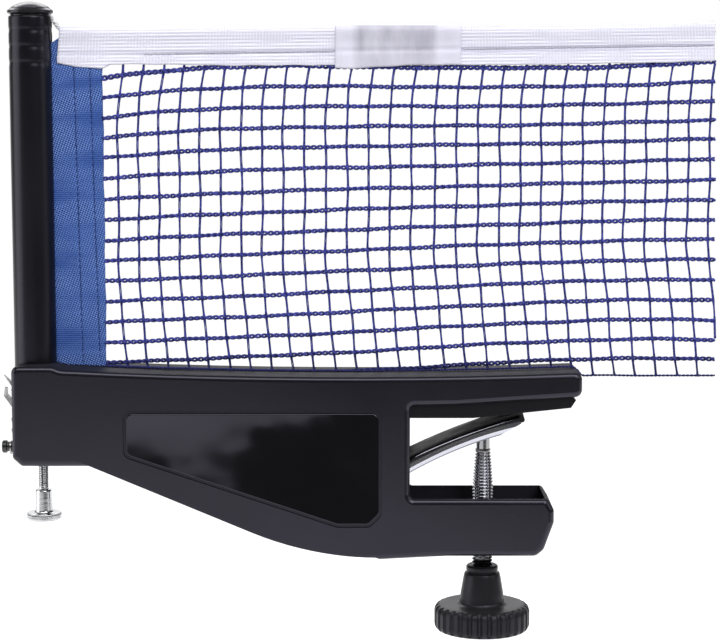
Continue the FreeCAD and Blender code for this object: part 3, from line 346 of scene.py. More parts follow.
def gloss_plate():
    """Clear resin over black: almost a mirror, a little hollow and not quite level."""
    f = Finish("gloss_plate", (0.003, 0.003, 0.0035), 0.06, specular=0.62, **COOL)
    f.roughness(f.spread(f.noise(30.0, 3.0), 0.04, 0.10))
    over_middle = f.plus(f.axis("Z"), 7.0)
    f.bump(f.times(f.times(over_middle, over_middle), 0.0011), 1.0)
    f.bump(f.noise(16.0, 0.8), 3.6)
    f.bump(f.noise(45.0, 1.0), 0.35)
    return f.material


def moulded(name, tone, roughness, ribs=None, specular=0.4):
    """Black moulding: a faint spark-eroded grain, and upright ribs a given distance apart
    where the piece has them."""
    f = Finish(name, (tone, tone, tone * 1.12), roughness, specular=specular, **COOL)
    f.roughness(f.spread(f.noise(60.0, 3.0), roughness - 0.05, roughness + 0.06))
    f.bump(f.noise(1500.0, 3.0), 0.02)
    if ribs:
        f.bump(f.wave(f.axis("X"), ribs), 0.05)
    return f.material


def plated(name, tone, roughness, tint=1.04, scales=DRAWN_LEVEL, black_below=None):
    """Bright plate: fine drawn lines in one direction and a slightly uneven gloss. Below a
    given height it is blackened by the moulding that grips it."""
    bright = (tone, tone * 1.01, tone * tint)
    f = Finish(name, bright, roughness, metallic=1.0)
    f.roughness(f.spread(f.streaks(scales, 3.0), roughness * 0.7, roughness * 1.5))
    plate = f.mix(f.spread(f.noise(80.0, 4.0), 0.0, 1.0), (tone * 0.82,) * 3, bright)
    if black_below is not None:
        clean = f.spread(f.axis("Z"), 0.0, 1.0, black_below, black_below + 0.4)
        plate = f.mix(clean, (0.03, 0.03, 0.034), plate)
    f.colour(plate)
    f.bump(f.streaks(scales), 0.012)
    return f.material


def over_flank(f):
    """The height over the lever's lower edge, which is a straight line with a slight bow."""
    x, z = f.axis("X"), f.axis("Z")
    from_left = f.plus(x, 13.0)
    line = f.times(from_left, 0.5)
    bow = f.times(f.times(from_left, f.minus(x, 5.0)), 0.00415)
    return f.plus(f.minus(z, line), f.plus(bow, 22.3))


def lever_chrome():
    """Chrome over a rolled channel: each flank leans out below and a little in above the
    roll. Drawn streaks run along it. Its colour holds painted light: painted reflections as
    light and dark streaks on the upper flank, a dimmer band below, and painted shade that
    makes it dark at its lower edge and under the rubber."""
    f = Finish("lever_chrome", (0.7, 0.71, 0.74), 0.12, metallic=1.0)
    above = over_flank(f)
    from_roll = f.minus(above, 1.75)
    f.bump(f.math("MINIMUM", f.times(from_roll, 0.24), f.times(from_roll, -0.05)), 1.0)
    place = f.node("CombineXYZ")
    f.feed(place.inputs[0], f.times(f.axis("X"), 0.12))
    f.feed(place.inputs[1], f.times(above, 1.5))
    streaks = f.noise(1.0, 3.0, place.outputs[0])
    # Painted reflection: the upper flank is bright with dark streaks and the lower band is a
    # dimmer copy; painted shade follows under the rubber and at the lower edge.
    upper = f.spread(above, 0.0, 1.0, 1.6, 2.1)
    shade = f.times(upper, f.spread(streaks, 0.0, 1.0, 0.36, 0.64))
    tone = f.mix(upper, (0.50, 0.505, 0.56), (0.97, 0.96, 1.0))
    tone = f.mix(shade, tone, (0.50, 0.49, 0.58))
    tone = f.mix(f.spread(above, 0.0, 1.0, 3.3, 3.7), tone, (0.16, 0.16, 0.18))
    f.colour(f.mix(f.spread(above, 0.9, 0.0, 0.30, 0.62), tone, (0.12, 0.12, 0.15)))
    f.roughness(f.spread(streaks, 0.08, 0.2))
    return f.material


def rubber():
    """Matt black rubber with fine ribs along the strip, with painted shade that makes it black
    where it meets the chrome, and painted light that lifts it to grey above.
    """
    f = Finish("lever_rubber", (0.030, 0.030, 0.033), 0.6, specular=0.4)
    f.roughness(f.spread(f.noise(120.0, 3.0), 0.5, 0.7))
    f.bump(f.wave(f.axis("Y"), 1.6), 0.06)
    # Painted shade and light: black low down where it meets the chrome, lit grey above.
    lit = f.spread(over_flank(f), 0.0, 1.0, 5.3, 6.3)
    f.colour(f.mix(lit, (0.002, 0.002, 0.002), (0.045, 0.045, 0.048)))
    return f.material


def woven_blue():
    """Blue strip in a fine diagonal weave: dots where the warp lies on top, in fields that
    fade to plain level lines, as the cloth's tension changed. Its hollows carry painted
    shade and its crests a painted highlight."""
    # Painted shade in the weave's hollows and a painted highlight on its crests.
    hollow, crest = (0.006, 0.022, 0.125), (0.175, 0.300, 0.70)
    f = Finish("sleeve_weave", (0.05, 0.11, 0.33), 0.85, specular=0.12)
    x, z = f.axis("X"), f.axis("Z")
    diagonal = f.plus(f.times(x, TURN / 1.3), f.times(z, TURN / 2.5))
    counter = f.minus(f.times(z, TURN / 1.3), f.times(x, TURN / 4.4))
    dots = f.times(f.math("SINE", diagonal), f.math("SINE", counter))
    lines = f.times(f.wave(z, 0.8), 0.45)
    bands = f.streaks((22.0, 22.0, 85.0))
    fields = f.spread(bands, 1.0, 0.15, 0.44, 0.62)
    weave = f.plus(f.times(dots, fields), f.times(lines, f.minus(1.0, fields)))
    tone = f.mix(f.spread(weave, 0.0, 1.0, -0.55, 0.75), hollow, crest)
    shade = f.spread(f.streaks((45.0, 45.0, 110.0), 3.0), 0.0, 0.4)
    tone = f.mix(shade, tone, (0.052, 0.110, 0.36))
    f.colour(f.mix(f.spread(bands, 0.0, 0.6, 0.46, 0.62), tone, (0.014, 0.050, 0.225)))
    f.bump(weave, 0.14)
    return f.material


def woven_white():
    """White band: level cords and upright ribs, each standing out in its own fields, with a
    pale lilac cast and painted shade in the hollows and lighter crests. A darker line runs
    where the band is sewn, and a fainter one below it from the label to the right end."""
    # Painted shade in the weave's hollows and lighter crests; the lilac cast is the band's own.
    hollow, crest = (0.50, 0.49, 0.62), (0.80, 0.795, 0.89)
    f = Finish("tape_weave", (0.8, 0.8, 0.86), 0.9, specular=0.1)
    x, z = f.axis("X"), f.axis("Z")
    cords = f.wave(f.plus(z, f.times(x, -0.0095)), 1.3)
    ribs = f.wave(x, 0.56)
    fields = f.spread(f.streaks((55.0, 55.0, 160.0)), 0.1, 1.0, 0.42, 0.58)
    weave = f.plus(f.times(cords, f.minus(1.2, fields)), f.times(ribs, fields))
    cloth = f.mix(f.spread(weave, 0.0, 1.0, -1.2, 0.4), hollow, crest)
    # Greyer in long level streaks across the band.
    grey_streaks = f.spread(f.streaks((60.0, 60.0, 500.0), 4.0), 0.0, 0.6)
    cloth = f.mix(grey_streaks, cloth, (0.70, 0.69, 0.80))
    (left, left_level), (right, right_level) = STITCH
    above = f.minus(z, f.spread(x, left_level, right_level, left, right))
    line = f.times(f.spread(f.math("ABSOLUTE", above), 1.0, 0.0, 0.35, 0.85),
                   f.spread(x, 0.25, 1.0, -122.0, -100.0))
    from_second = f.math("ABSOLUTE", f.plus(above, 1.25))
    reach = f.times(f.spread(x, 0.0, 1.0, -60.0, -40.0), f.spread(x, 1.0, 0.6, 60.0, 90.0))
    second = f.times(f.spread(from_second, 0.6, 0.0, 0.25, 0.7), reach)
    sewn = f.times(f.math("MAXIMUM", line, second), f.spread(ribs, 0.45, 1.0, -1.0, 1.0))
    f.colour(f.mix(sewn, cloth, (0.40, 0.39, 0.52)))
    f.bump(weave, 0.05)
    return f.material


def satin():
    """Pale satin: long smooth floats with a soft sheen, and creases from its folding, whose
    colour carries painted shade and sheen: darker where they sink, paler on their ridges.
    Its sewn ends carry a painted sheen and are paler than its middle, as is the middle's
    lower part."""
    f = Finish("label_satin", (0.62, 0.61, 0.68), 0.5, specular=0.3)
    x, z = f.axis("X"), f.axis("Z")
    soft = f.streaks((150.0, 60.0, 60.0), 3.0)
    # Painted shade and sheen: the colour follows the creases, darker where they sink.
    cloth = f.mix(f.spread(soft, 0.0, 1.0), (0.37, 0.36, 0.435), (0.54, 0.53, 0.61))
    # Painted sheen: the sewn ends, and the lower part of the middle, are paler.
    middle = f.times(f.spread(x, 0.0, 1.0, -34.5, -31.0), f.spread(x, 1.0, 0.0, -3.5, -1.0))
    middle = f.times(middle, f.spread(z, 0.7, 1.0, 138.6, 139.4))
    f.colour(f.mix(middle, (0.62, 0.61, 0.71), cloth))
    f.bump(f.wave(z, 0.3), 0.01)
    f.bump(soft, 0.5)
    return f.material


def sewing_thread(name, dark, light):
    """Spun thread: turns along its own UV map, whose first axis is the distance along it and
    whose second goes once round it. Painted shade makes it darker where the turns sink and
    lighter where they rise."""
    f = Finish(name, light, 0.8, specular=0.2)
    split = f.node("SeparateXYZ")
    f.feed(split.inputs[0], f.node("UVMap", uv_map="along").outputs[0])
    along, around = split.outputs[0], split.outputs[1]
    turns = f.wave(f.plus(f.math("DIVIDE", along, 0.9), around), 1.0)
    # Painted shade: darker where the turns sink, lighter where they rise.
    f.colour(f.mix(f.spread(turns, 0.0, 1.0, -0.9, 0.9), dark, light))
    f.bump(turns, 0.05)
    return f.material


def cord_yarn():
    """White spun cord, greyer in small random patches that stand for painted shade between
    its fibres.
    """
    f = Finish("cord_yarn", (0.62, 0.62, 0.64), 0.8, specular=0.2)
    # Painted shade: grey in small random patches, as between the fibres.
    f.colour(f.mix(f.spread(f.noise(700.0, 3.0), 0.0, 1.0), (0.42, 0.42, 0.45),
                   (0.78, 0.78, 0.80)))
    f.bump(f.noise(1800.0, 3.0), 0.06)
    return f.material


def net_yarn():
    """Navy net yarn, darker in small random patches that stand for painted shade where the
    filaments turn under, and with painted shade low down by the arm, below 25 mm.
    """
    f = Finish("net_yarn", (0.03, 0.035, 0.25), 0.8, specular=0.2)
    tone = f.mix(f.spread(f.noise(900.0, 3.0), 0.0, 1.0), (0.010, 0.012, 0.075),
                 (0.062, 0.072, 0.36))
    # Painted shade: below 25 mm, low down by the arm, the yarn darkens to near-black navy.
    painted_shade_low = f.spread(f.axis("Z"), 0.75, 0.0, 17.5, 25.0)
    f.colour(f.mix(painted_shade_low, tone, (0.008, 0.009, 0.045)))
    f.bump(f.streaks((2500.0, 2500.0, 2500.0), 3.0), 0.06)
    return f.material


COAT = powder_coat("powder_coat", 0.006, 0.19, duller=0.5)
ENAMEL = powder_coat("post_enamel", 0.003, 0.30, 0.36)
CHROME = lever_chrome()
RUBBER = rubber()
GLOSS = gloss_plate()
ZINC = plated("screw_zinc", 0.47, 0.13, 1.14, DRAWN_UPRIGHT)
GRIPPED = plated("gripped_screw_zinc", 0.45, 0.13, 1.14, DRAWN_UPRIGHT, black_below=-57.4)
BRIGHT = plated("thumb_screw_zinc", 0.74, 0.20, 1.05)
SPRING = plated("spring_steel", 0.38, 0.28)
OXIDE = plated("black_oxide", 0.07, 0.35)
KNOB = moulded("knob_plastic", 0.012, 0.37, specular=0.27)
CAP = moulded("cap_plastic", 0.010, 0.28, specular=0.5)
INSERT = moulded("insert_plastic", 0.007, 0.5, ribs=5.2, specular=0.12)
HIDDEN = moulded("inner_plastic", 0.03, 0.5)
BLUE = woven_blue()
WHITE = woven_white()
SATIN = satin()
NAVY = net_yarn()
CORD = cord_yarn()
NAVY_THREAD = sewing_thread("sleeve_thread", (0.008, 0.02, 0.10), (0.02, 0.045, 0.20))
WHITE_THREAD = sewing_thread("band_thread", (0.42, 0.42, 0.46), (0.72, 0.72, 0.76))

# The finishes of the frame's nodes that keep their own mesh.
for node, finish in {
    "bracket_shell": COAT, "front_decal": GLOSS, "upper_jaw_pad": INSERT,
    "pressure_lever": CHROME, "lever_pad": RUBBER, "screw_thrust_tip": ZINC,
    "tension_cleat": SPRING, "cleat_rivets": SPRING, "cord_clamp_nut": OXIDE,
    "cord_clamp_washer": SPRING, "cord_clamp_screw": OXIDE, "clamp_nut": ZINC,
    "height_screw_nut": ZINC, "lever_pivot_pin": ZINC, "post_guide_bush": HIDDEN,
    "post_foot": HIDDEN, "sleeve_rod": HIDDEN, "post_cap": CAP,
}.items():
    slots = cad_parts[node].data.materials
    slots.clear()
    slots.append(finish)


# ---------------------------------------------------------------- post

RING_LEVELS = (146.9, 140.75, 134.6)


def post_tube():
    """A tube with a slot: its section runs round the outside, in through the slot's edge,
    back round the inside and out again. Each ring is a groove with a rounded floor, and the
    top edge is rolled in."""
    low, top, wall, half_slot, groove_depth = 11.0, 152.3, 1.4, 1.3, 0.17
    lip_height, lip_depth = 0.8, 0.55
    near_rings = [level + np.linspace(-2.2, 2.2, 31) for level in RING_LEVELS]
    near_top = top - np.array([2.0, 1.2, 0.8, 0.5, 0.3, 0.15, 0.05, 0.0])
    height = np.unique(np.round(np.concatenate([
        np.linspace(low, 130, 60), *near_rings, [130, 137.7, 143.8, 149.5], near_top]), 3))
    groove = sum(groove_depth * np.exp(-(height - level) ** 2) for level in RING_LEVELS)
    into_lip = ((height - top + lip_height) / lip_height).clip(0, 1)
    lip = lip_depth * (1 - np.sqrt(np.clip(1 - into_lip ** 2, 0, 1)))
    outer = POST_RADIUS - groove - lip
    inner = POST_RADIUS - wall - 0.5 * groove
    open_out = np.arcsin(half_slot / POST_RADIUS)
    open_in = np.arcsin(half_slot / (POST_RADIUS - wall))
    out_angle = np.linspace(open_out, TURN - open_out, 97)
    in_angle = np.linspace(TURN - open_in, open_in, 49)
    sides = [np.stack([POST_X + r[:, None] * np.cos(a), r[:, None] * np.sin(a),
                       height[:, None] + 0 * a], axis=-1)
             for r, a in ((outer, out_angle), (inner, in_angle))]
    piece("post_body", [np.concatenate(sides, axis=1)], "post", ENAMEL, ["post_tube"],
          sharp=50)


# ---------------------------------------------------------------- screws and knob

def thread_relief(pitch, depth, start, stop):
    """A helical ridge: the height is a rounded triangle wave of height / pitch minus the
    angle in turns, and it fades out over the last millimetre at both ends."""
    def relief(angle, height, radius):
        phase = (height / pitch - angle / TURN) % 1.0
        ridge = np.clip(1.15 - 2.5 * np.abs(phase - 0.5), 0.0, 1.0)
        fade = ramp(height, start, start + 1.0) * (1 - ramp(height, stop - 1.0, stop))
        return -depth * (1 - ridge) * fade
    return relief


def clamp_screw():
    """The M8 rod: its crest tapers towards the smooth tip, and the thread goes with it."""
    top, low, pitch, thread_depth = -13.86, -81.0, 1.25, 0.66
    height = np.concatenate([[top], np.arange(top - 0.4, low, -pitch / 9), [low]])
    crest = bent_line(height, (-26.5, 4.0), (-20.0, 3.55), (-13.8, 2.95))
    relief = thread_relief(pitch, thread_depth, low, top - 0.6)
    grid = turned(np.stack([crest, height], axis=1), SCREW_X, 56, relief)
    piece("clamp_screw_thread", [grid], "clamp_screw", GRIPPED, ["clamp_screw"],
          sharp=60)


def clamp_knob():
    """The moulded knob: a stepped collar, a flared neck that flares once more into the
    disc, and a rim with 30 flutes whose depth fades over both rounded edges."""
    count, steps, flute_share, flute_depth = 30, 14, 0.24, 1.05
    profile = dense(rounded_profile([
        (4.0, -59.9), (5.7, -59.9), (6.2, -60.4), (6.2, -61.9), (5.7, -62.2), (5.7, -62.6),
        (6.8, -62.9), (7.15, -64.2), (8.3, -70.9), (8.7, -74.6), (9.8, -75.4), (15.9, -75.4),
        (17.9, -76.1), (18.6, -77.6), (18.6, -83.7), (17.6, -85.4), (13.0, -85.4),
        (12.2, -84.0), (0.0, -84.0)], 0.7), 0.7)

    def flutes(angle, height, radius):
        from_middle = np.abs((angle * count / TURN + 0.5) % 1.0 - 0.5)
        flute = np.sqrt(np.clip(1 - (from_middle / flute_share) ** 2, 0, 1))
        rim = ramp(radius, 16.0, 18.3) * ramp(height, -85.6, -84.0)
        return -flute_depth * flute * rim
    piece("knob_body", [turned(profile, SCREW_X, count * steps, flutes)], "clamp_screw", KNOB,
          ["clamp_knob"], cap=False, sharp=50)


def height_screw():
    """The M4 thumb screw: threaded shank, plain barrel that widens downwards, and a disc
    whose rim is knurled with upright teeth."""
    count, steps, tooth_depth, shank_radius = 54, 4, 0.42, 2.0
    profile = dense(rounded_profile([
        (0.0, -10.6), (1.5, -10.6), (shank_radius, -11.3), (shank_radius, -29.9),
        (2.75, -29.9), (3.1, -30.4), (3.45, -38.4), (3.9, -39.0), (6.3, -39.0),
        (6.75, -39.5), (6.75, -41.3), (6.3, -41.8), (0.0, -41.8)], 0.35), 0.14)
    thread = thread_relief(0.7, 0.34, -29.5, -11.4)

    def relief(angle, height, radius):
        teeth = np.abs((angle * count / TURN) % 1.0 - 0.5) * 2
        knurl = tooth_depth * (1 - teeth) * ramp(radius, 6.45, 6.74)
        return thread(angle, height, radius) * (radius < shank_radius + 0.05) - knurl
    piece("height_screw_body", [turned(profile, LIFT_X, count * steps, relief)],
          "height_screw", BRIGHT, ["height_screw"], cap=False, sharp=50)


# ---------------------------------------------------------------- net

# The height of each row in the net's middle, from the top row to the bottom cord.
ROW_LEVELS = np.array([132.9, 125.5, 118.1, 110.6, 103.2, 95.3, 87.2, 79.5, 71.8, 64.0, 56.2,
                       48.4, 40.5, 32.7, 25.0, 17.5, 10.8])
# How the rows bow: sizes for the first to fourth power of the distance along the net, for
# every row alike, in proportion to the row's share of the way down, and to its square.
ROW_BOWS = np.array([[-1.7, 0.8, 4.6, -2.2], [14.6, -4.2, -11.4, 5.9], [-5.9, 4.3, 4.1, -5.7]])
LAST_ROW = 16
COLUMNS = 29
LINK = 2.4
ROW_YARN = 0.50
UPRIGHT_YARN = 0.23


def arm_top(x):
    """The height of the bracket's upper face: the head, its ramp and the shallow dip."""
    return bent_line(x, (-147.5, 19.8), (-146.0, 19.2), (-144.0, 18.8), (-128.0, 18.1),
                     (-110.0, 17.4), (-90.0, 16.9), (-70.0, 16.4), (-52.0, 16.2), (-30.0, 16.1),
                     (0.0, 16.4), (20.0, 16.8), (50.0, 17.7), (51.8, 17.2), (53.2, 16.0),
                     (54.2, 14.6))


def tape_edge(x):
    """The height of the white band's lower edge. Over the sleeve the band reaches lower."""
    edge = bent_line(x, (-146.2, 134.5), (-139.3, 133.3), (-129.7, 132.3), (-128.6, 132.6),
                     (-126.0, 134.0), (-78.0, 133.6), (0.0, 133.6), (47.0, 134.0),
                     (75.0, 134.4), (103.6, 135.4))
    return edge + (0.1 * np.sin(x / 2.4) + 0.08 * np.sin(x / 9.3 + 1))


def net_right(z):
    """Where the net is cut off at its right, at height z."""
    return 103.8 + (140.0 - z) * 0.02


def row_level(k, x):
    """The height of row k before it meets the arm: its level in the net's middle, plus
    powers of the distance t along the net whose sizes vary with the row."""
    t = (x + 12.7) / 116.3
    share = np.asarray(k) / LAST_ROW
    level = np.interp(k, np.arange(LAST_ROW + 1), ROW_LEVELS)
    for order, sizes in enumerate(ROW_BOWS):
        for power, size in enumerate(sizes, start=1):
            level = level + size * share ** order * t ** power
    level = level + 0.5 * ramp(x, 60.0, 103.0) * (1 - share) ** 12
    return level + 0.14 * np.sin(x / 5.1 + 2.1 * k) + 0.10 * np.sin(x / 12.7 - 1.3 * k)


def column_x(i, k):
    """Where upright thread i crosses row k: nearly evenly spaced, pulled to the right at
    the top and, more so, in the lowest rows."""
    t = i / (COLUMNS - 1)
    low = t * 0.8 * np.maximum(0, k - 9.2) + (1 - t) * 0.105 * np.maximum(0, k - 9) ** 2
    top = (2.1 - 0.8 * t) * np.exp(-np.maximum(k, -0.2) / 1.15)
    drift = bent_line(i, (0, 0.2), (4, -0.9), (8, -1.4), (14, -0.9), (15, 0.0), (18, 0.5),
                      (23, -0.3), (28, -0.2))
    wave = 0.2 * np.sin(TURN * (k - 4.5) / 6) + 0.15 * np.sin(3.7 * i + 1.9 * k)
    return -123.9 + 8.09 * i + drift + low + top + wave


def hang(x, z):
    """Where a point of the flat net comes to rest. Over the arm its lower rows gather on
    the arm's upper face, and past the arm's end they hang free. It sways a little out of
    its plane, less so towards the band that holds it."""
    over = 1 - ramp(x, ARM_NOSE_X + 0.2, ARM_NOSE_X + 2.4)
    rest = arm_top(x) + ROW_YARN
    above = z - rest
    lying = rest + softplus(above, 0.3)
    forward = -0.16 * softplus(-above, 0.3)
    sway = 0.35 * np.sin(x / 17.0 + z / 23.0) + 0.2 * np.sin(x / 7.0 - z / 15.0)
    held = 1 - 0.85 * ramp(z, 116.0, 131.0)
    y = sway * held * ramp(above, 0.0, 12.0) + over * forward
    return np.stack([x + 0 * z, y, over * lying + (1 - over) * z], axis=-1)


def net_row(k):
    """The two yarns of row k. They part and cross once a link and leave a small eye between
    crossings, wider in the top row. Where the row lies on the arm, they lie side by side."""
    x = np.arange(NET_LEFT, net_right(ROW_LEVELS[k]), LINK / 5)
    free = row_level(k, x)
    points = hang(x, free)
    flat = (ramp(arm_top(x) + 1.0 - free, -0.4, 1.6) * (x < ARM_NOSE_X))[:, None]
    turn = np.pi * (x - NET_LEFT) / LINK + 0.7 * k
    eye = 0.49 + 0.10 * np.sin(x / 3.9 + 2.7 * k) * np.cos(x / 8.3 - k) + 0.11 * (k == 0)
    part = (eye * np.sin(turn))[:, None]
    cross = (0.36 * np.cos(turn))[:, None]
    out = np.cross(unit(np.gradient(points, axis=0)), UP_Y)
    aside = part * (1 - flat) * out + (cross + part * flat) * UP_Y
    radius = ROW_YARN + 0.05 * np.cos(2 * turn) - 0.20 * flat[:, 0] + 0.08 * (k == 0)
    return [tube(points + sign * aside, radius, 5) for sign in (1, -1)]


def net_upright(i):
    """The two yarns of upright thread i, from inside the band to the bottom cord. They lie
    side by side and thicken to a knot at each row they pass."""
    k = np.linspace(-0.5, LAST_ROW + 0.1, 84)
    x = column_x(i, k)
    z = row_level(np.clip(k, 0, LAST_ROW), x)
    start = tape_edge(x) + 1.6
    z = np.where(k < 0, z + (start - z) * np.clip(-k / 0.4, 0, 1), z)
    uncut = x < net_right(z)
    k, x, z = k[uncut], x[uncut], z[uncut]
    points = hang(x, z)
    wander = 0.12 * np.sin(2.3 * i + 1.7 * np.floor(k)) * np.sin(np.pi * (k % 1.0))
    gap = 0.14 + np.abs(wander)
    aside = np.stack([gap, 0.10 + 0 * gap, 0 * gap], axis=-1)
    knot = 0.13 * (np.abs((k + 0.5) % 1.0 - 0.5) < 0.12)
    return [tube(points + sign * aside, UPRIGHT_YARN + knot, 4) for sign in (1, -1)]


def net():
    """Chain-knitted rows and the upright threads that tie them together."""
    grids = [grid for k in range(LAST_ROW) for grid in net_row(k)]
    grids += [grid for i in range(COLUMNS) for grid in net_upright(i)]
    made = piece("net_knit", grids, "post", NAVY, ["net_mesh"])


def bottom_cord():
    """The cord knitted into the net's lower edge: two yarns twisted together. Past
    level_from it hangs level."""
    level_from = 86.0
    x = np.arange(NET_LEFT, net_right(ROW_LEVELS[LAST_ROW]), 0.5)
    path = hang(x, row_level(LAST_ROW, np.minimum(x, level_from)))
    piece("net_edge_cord", strands(path, 2, 0.20, 0.26, 3.1, 6), "post", NAVY,
          ["bottom_cord"])


# ---------------------------------------------------------------- band, label, sleeve, cord

CORD_LEVEL = 146.4
BAND_HALF = 0.95


def stitch_level(x):
    """The height of the band's sewn line."""
    return bent_line(x, *STITCH)


def band_sheet(x, grow, low):
    """A cloth folded over the net's edge and its cord, as points (x, y, z) across at each x.
    The front half goes up from height low, drawn in at the stitch line, then round the cord,
    and the rear half mirrors it. grow sets the cloth that far outside the band."""
    lift = bent_line(x, (-146.2, 0.0), (-130.0, -0.6), (-118.0, -0.9), (-90.0, -0.4),
                     (-45.0, 0.1), (50.0, 0.0), (75.0, 0.6), (103.6, 1.9))
    middle = (CORD_LEVEL + 0.35 + lift)[:, None]
    radius = 1.55 + grow
    half = BAND_HALF + grow
    share = np.linspace(0.0, 1.0, 22)[None, :]
    z = low[:, None] + (middle - low[:, None]) * share
    pinch = np.exp(-((z - stitch_level(x)[:, None]) / 0.8) ** 2)
    bulge = ramp(z, middle - 5.0, middle)
    y = half - 0.35 * pinch + (radius - half) * bulge
    y = y + 0.12 * np.sin(x / 3.1)[:, None] * (1 - share) ** 2
    angle = np.linspace(0, np.pi / 2, 9)[None, 1:]
    y = np.concatenate([y, radius * np.cos(angle) + 0 * middle], axis=1)
    z = np.concatenate([z, middle + radius * np.sin(angle)], axis=1)
    y = np.concatenate([-y, y[:, -2::-1]], axis=1)
    z = np.concatenate([z, z[:, -2::-1]], axis=1)
    return np.stack([x[:, None] + 0 * y, y, z], axis=-1)


def thicken(made, size):
    """Gives a sheet its thickness, inwards from the face that was drawn."""
    modifier = made.modifiers.new("cloth_thickness", "SOLIDIFY")
    modifier.thickness = size * MM
    modifier.offset = -1.0
    modifier.use_rim = True


def top_band():
    """The white band, folded over the net's upper edge and the cord. Its left end leans."""
    x = np.arange(BAND_LEFT, CUT_X + 0.05, 0.8)
    sheet = band_sheet(x, 0.0, tape_edge(x))
    lean = (1 - ramp(x, BAND_LEFT, -140.0))[:, None]
    sheet[:, :, 0] += lean * 1.1 * ramp(sheet[:, :, 2], 134.0, 148.0)
    made = piece("top_band", [sheet[:, ::-1]], "post", WHITE, ["top_tape"],
                 wrap=False)
    thicken(made, 0.32)


def label():
    """The bare satin patch, folded over the band, with creases that fade to its sewn
    ends."""
    x = np.linspace(LABEL_LEFT, LABEL_RIGHT, 70)
    sheet = band_sheet(x, 0.36, tape_edge(x) + 0.15 - 1.3 * (1 - ramp(x, -38.0, -8.0)))
    inside = ramp(x, LABEL_LEFT, -37.0) * (1 - ramp(x, 3.5, LABEL_RIGHT))
    across, z = x[:, None], sheet[:, :, 2]
    crease = 0.16 * np.sin(across / 2.7 + z / 6.0) + 0.1 * np.sin(across / 1.3 - z / 2.4)
    sheet[:, :, 1] += np.sign(sheet[:, :, 1]) * crease * inside[:, None]
    made = piece("label_patch", [sheet[:, ::-1]], "post", SATIN, ["tape_label"],
                 wrap=False)
    thicken(made, 0.2)


def sleeve_seams(z):
    """The places along X of the sleeve's two seams at height z: they lean with the cloth."""
    t = (142.4 - z) / 123.0
    return -140.0 + 2.0 * t, -134.0 + 2.6 * t


def sleeve():
    """The blue strip as a flat closed tube of cloth: its front and back lie on the net's
    edge, drawn in along two seams, with a rolled hem at its foot and a turned-down corner
    at its top. It thins where it goes into the band."""
    z = np.concatenate([np.linspace(19.3, 24.6, 12), np.linspace(25.2, 141.0, 150),
                        np.linspace(141.3, 144.4, 9)])
    x = np.concatenate([[SLEEVE_LEFT], np.linspace(-149.6, -129.1, 60), [SLEEVE_RIGHT]])
    left = bent_line(z, (19.3, -148.9), (20.3, SLEEVE_LEFT), (141.2, SLEEVE_LEFT),
                     (142.0, -148.4), (144.4, -144.9))
    right = SLEEVE_RIGHT + 0.12 * np.sin(z / 5.3) + 0.08 * np.sin(z / 2.1)
    right = np.where(z > 133.5, -129.0 - (z - 133.5) * 0.02, right)
    share = (x - x[0]) / (x[-1] - x[0])
    grid_x = left[:, None] + (right - left)[:, None] * share
    foot = arm_top(grid_x) + 0.2 - z[0]
    grid_z = z[:, None] + foot * (1 - ramp(z, z[0], 24.0))[:, None]
    drawn_in = sum(np.exp(-((grid_x - s[:, None]) / 0.42) ** 2) for s in sleeve_seams(z))
    hem = (1 - ramp(z, 23.6, 24.3))[:, None]
    edge = np.sqrt(np.clip(1 - np.abs(2 * share - 1) ** 14, 0, 1))
    ripple = 0.06 * np.sin(grid_z / 4.3 + grid_x / 2.2)
    half = (0.72 + 0.16 * hem - 0.22 * drawn_in + ripple) * edge
    half = half * (1 - 0.55 * ramp(grid_z, 133.0, 134.5))
    front = np.stack([grid_x, -half, grid_z], axis=-1)
    back = np.stack([grid_x, half, grid_z], axis=-1)[:, ::-1]
    made = piece("sleeve_cloth", [np.concatenate([front, back[:, 1:-1]], axis=1)], "post", BLUE,
                 ["net_sleeve"])


def seam(name, x, y, z, side, stitch, material):
    """A sewn line on the front (side -1) or the rear (side 1) of a cloth: a thread that
    rises over the cloth and dips into it once a stitch. stitch gives the thread's radius,
    the stitch's length and the rise."""
    radius, length, rise = stitch
    path = np.stack([x, side * (y + 0 * z), z], axis=-1)
    gone = distance_along(path)
    path[:, 1] += side * rise * np.cos(TURN * gone / length)
    around = np.arange(5) / 5.0
    uv = np.stack(np.broadcast_arrays(gone[:, None], around), axis=-1)
    piece(name, [tube(path, radius, len(around))], "post", material, uv=uv)


def seams():
    """The two seams of the sleeve and the long seam of the band, which the label hides over
    its width, on both faces."""
    faces = (("front", -1), ("rear", 1))
    z = np.arange(20.2, 133.4, 0.35)
    for order, x in enumerate(sleeve_seams(z)):
        for face, side in faces:
            seam(f"sleeve_seam_{order}_{face}", x, 0.60, z, side, (0.15, 2.3, 0.17),
                 NAVY_THREAD)
    x = np.arange(-113.0, 103.2, 0.35)
    runs = (("left", x[x < LABEL_LEFT - 0.6]), ("right", x[x > LABEL_RIGHT + 0.6]))
    for face, side in faces:
        for part, run in runs:
            seam(f"band_seam_{part}_{face}", run, 0.93, stitch_level(run), side,
                 (0.14, 2.6, 0.14), WHITE_THREAD)


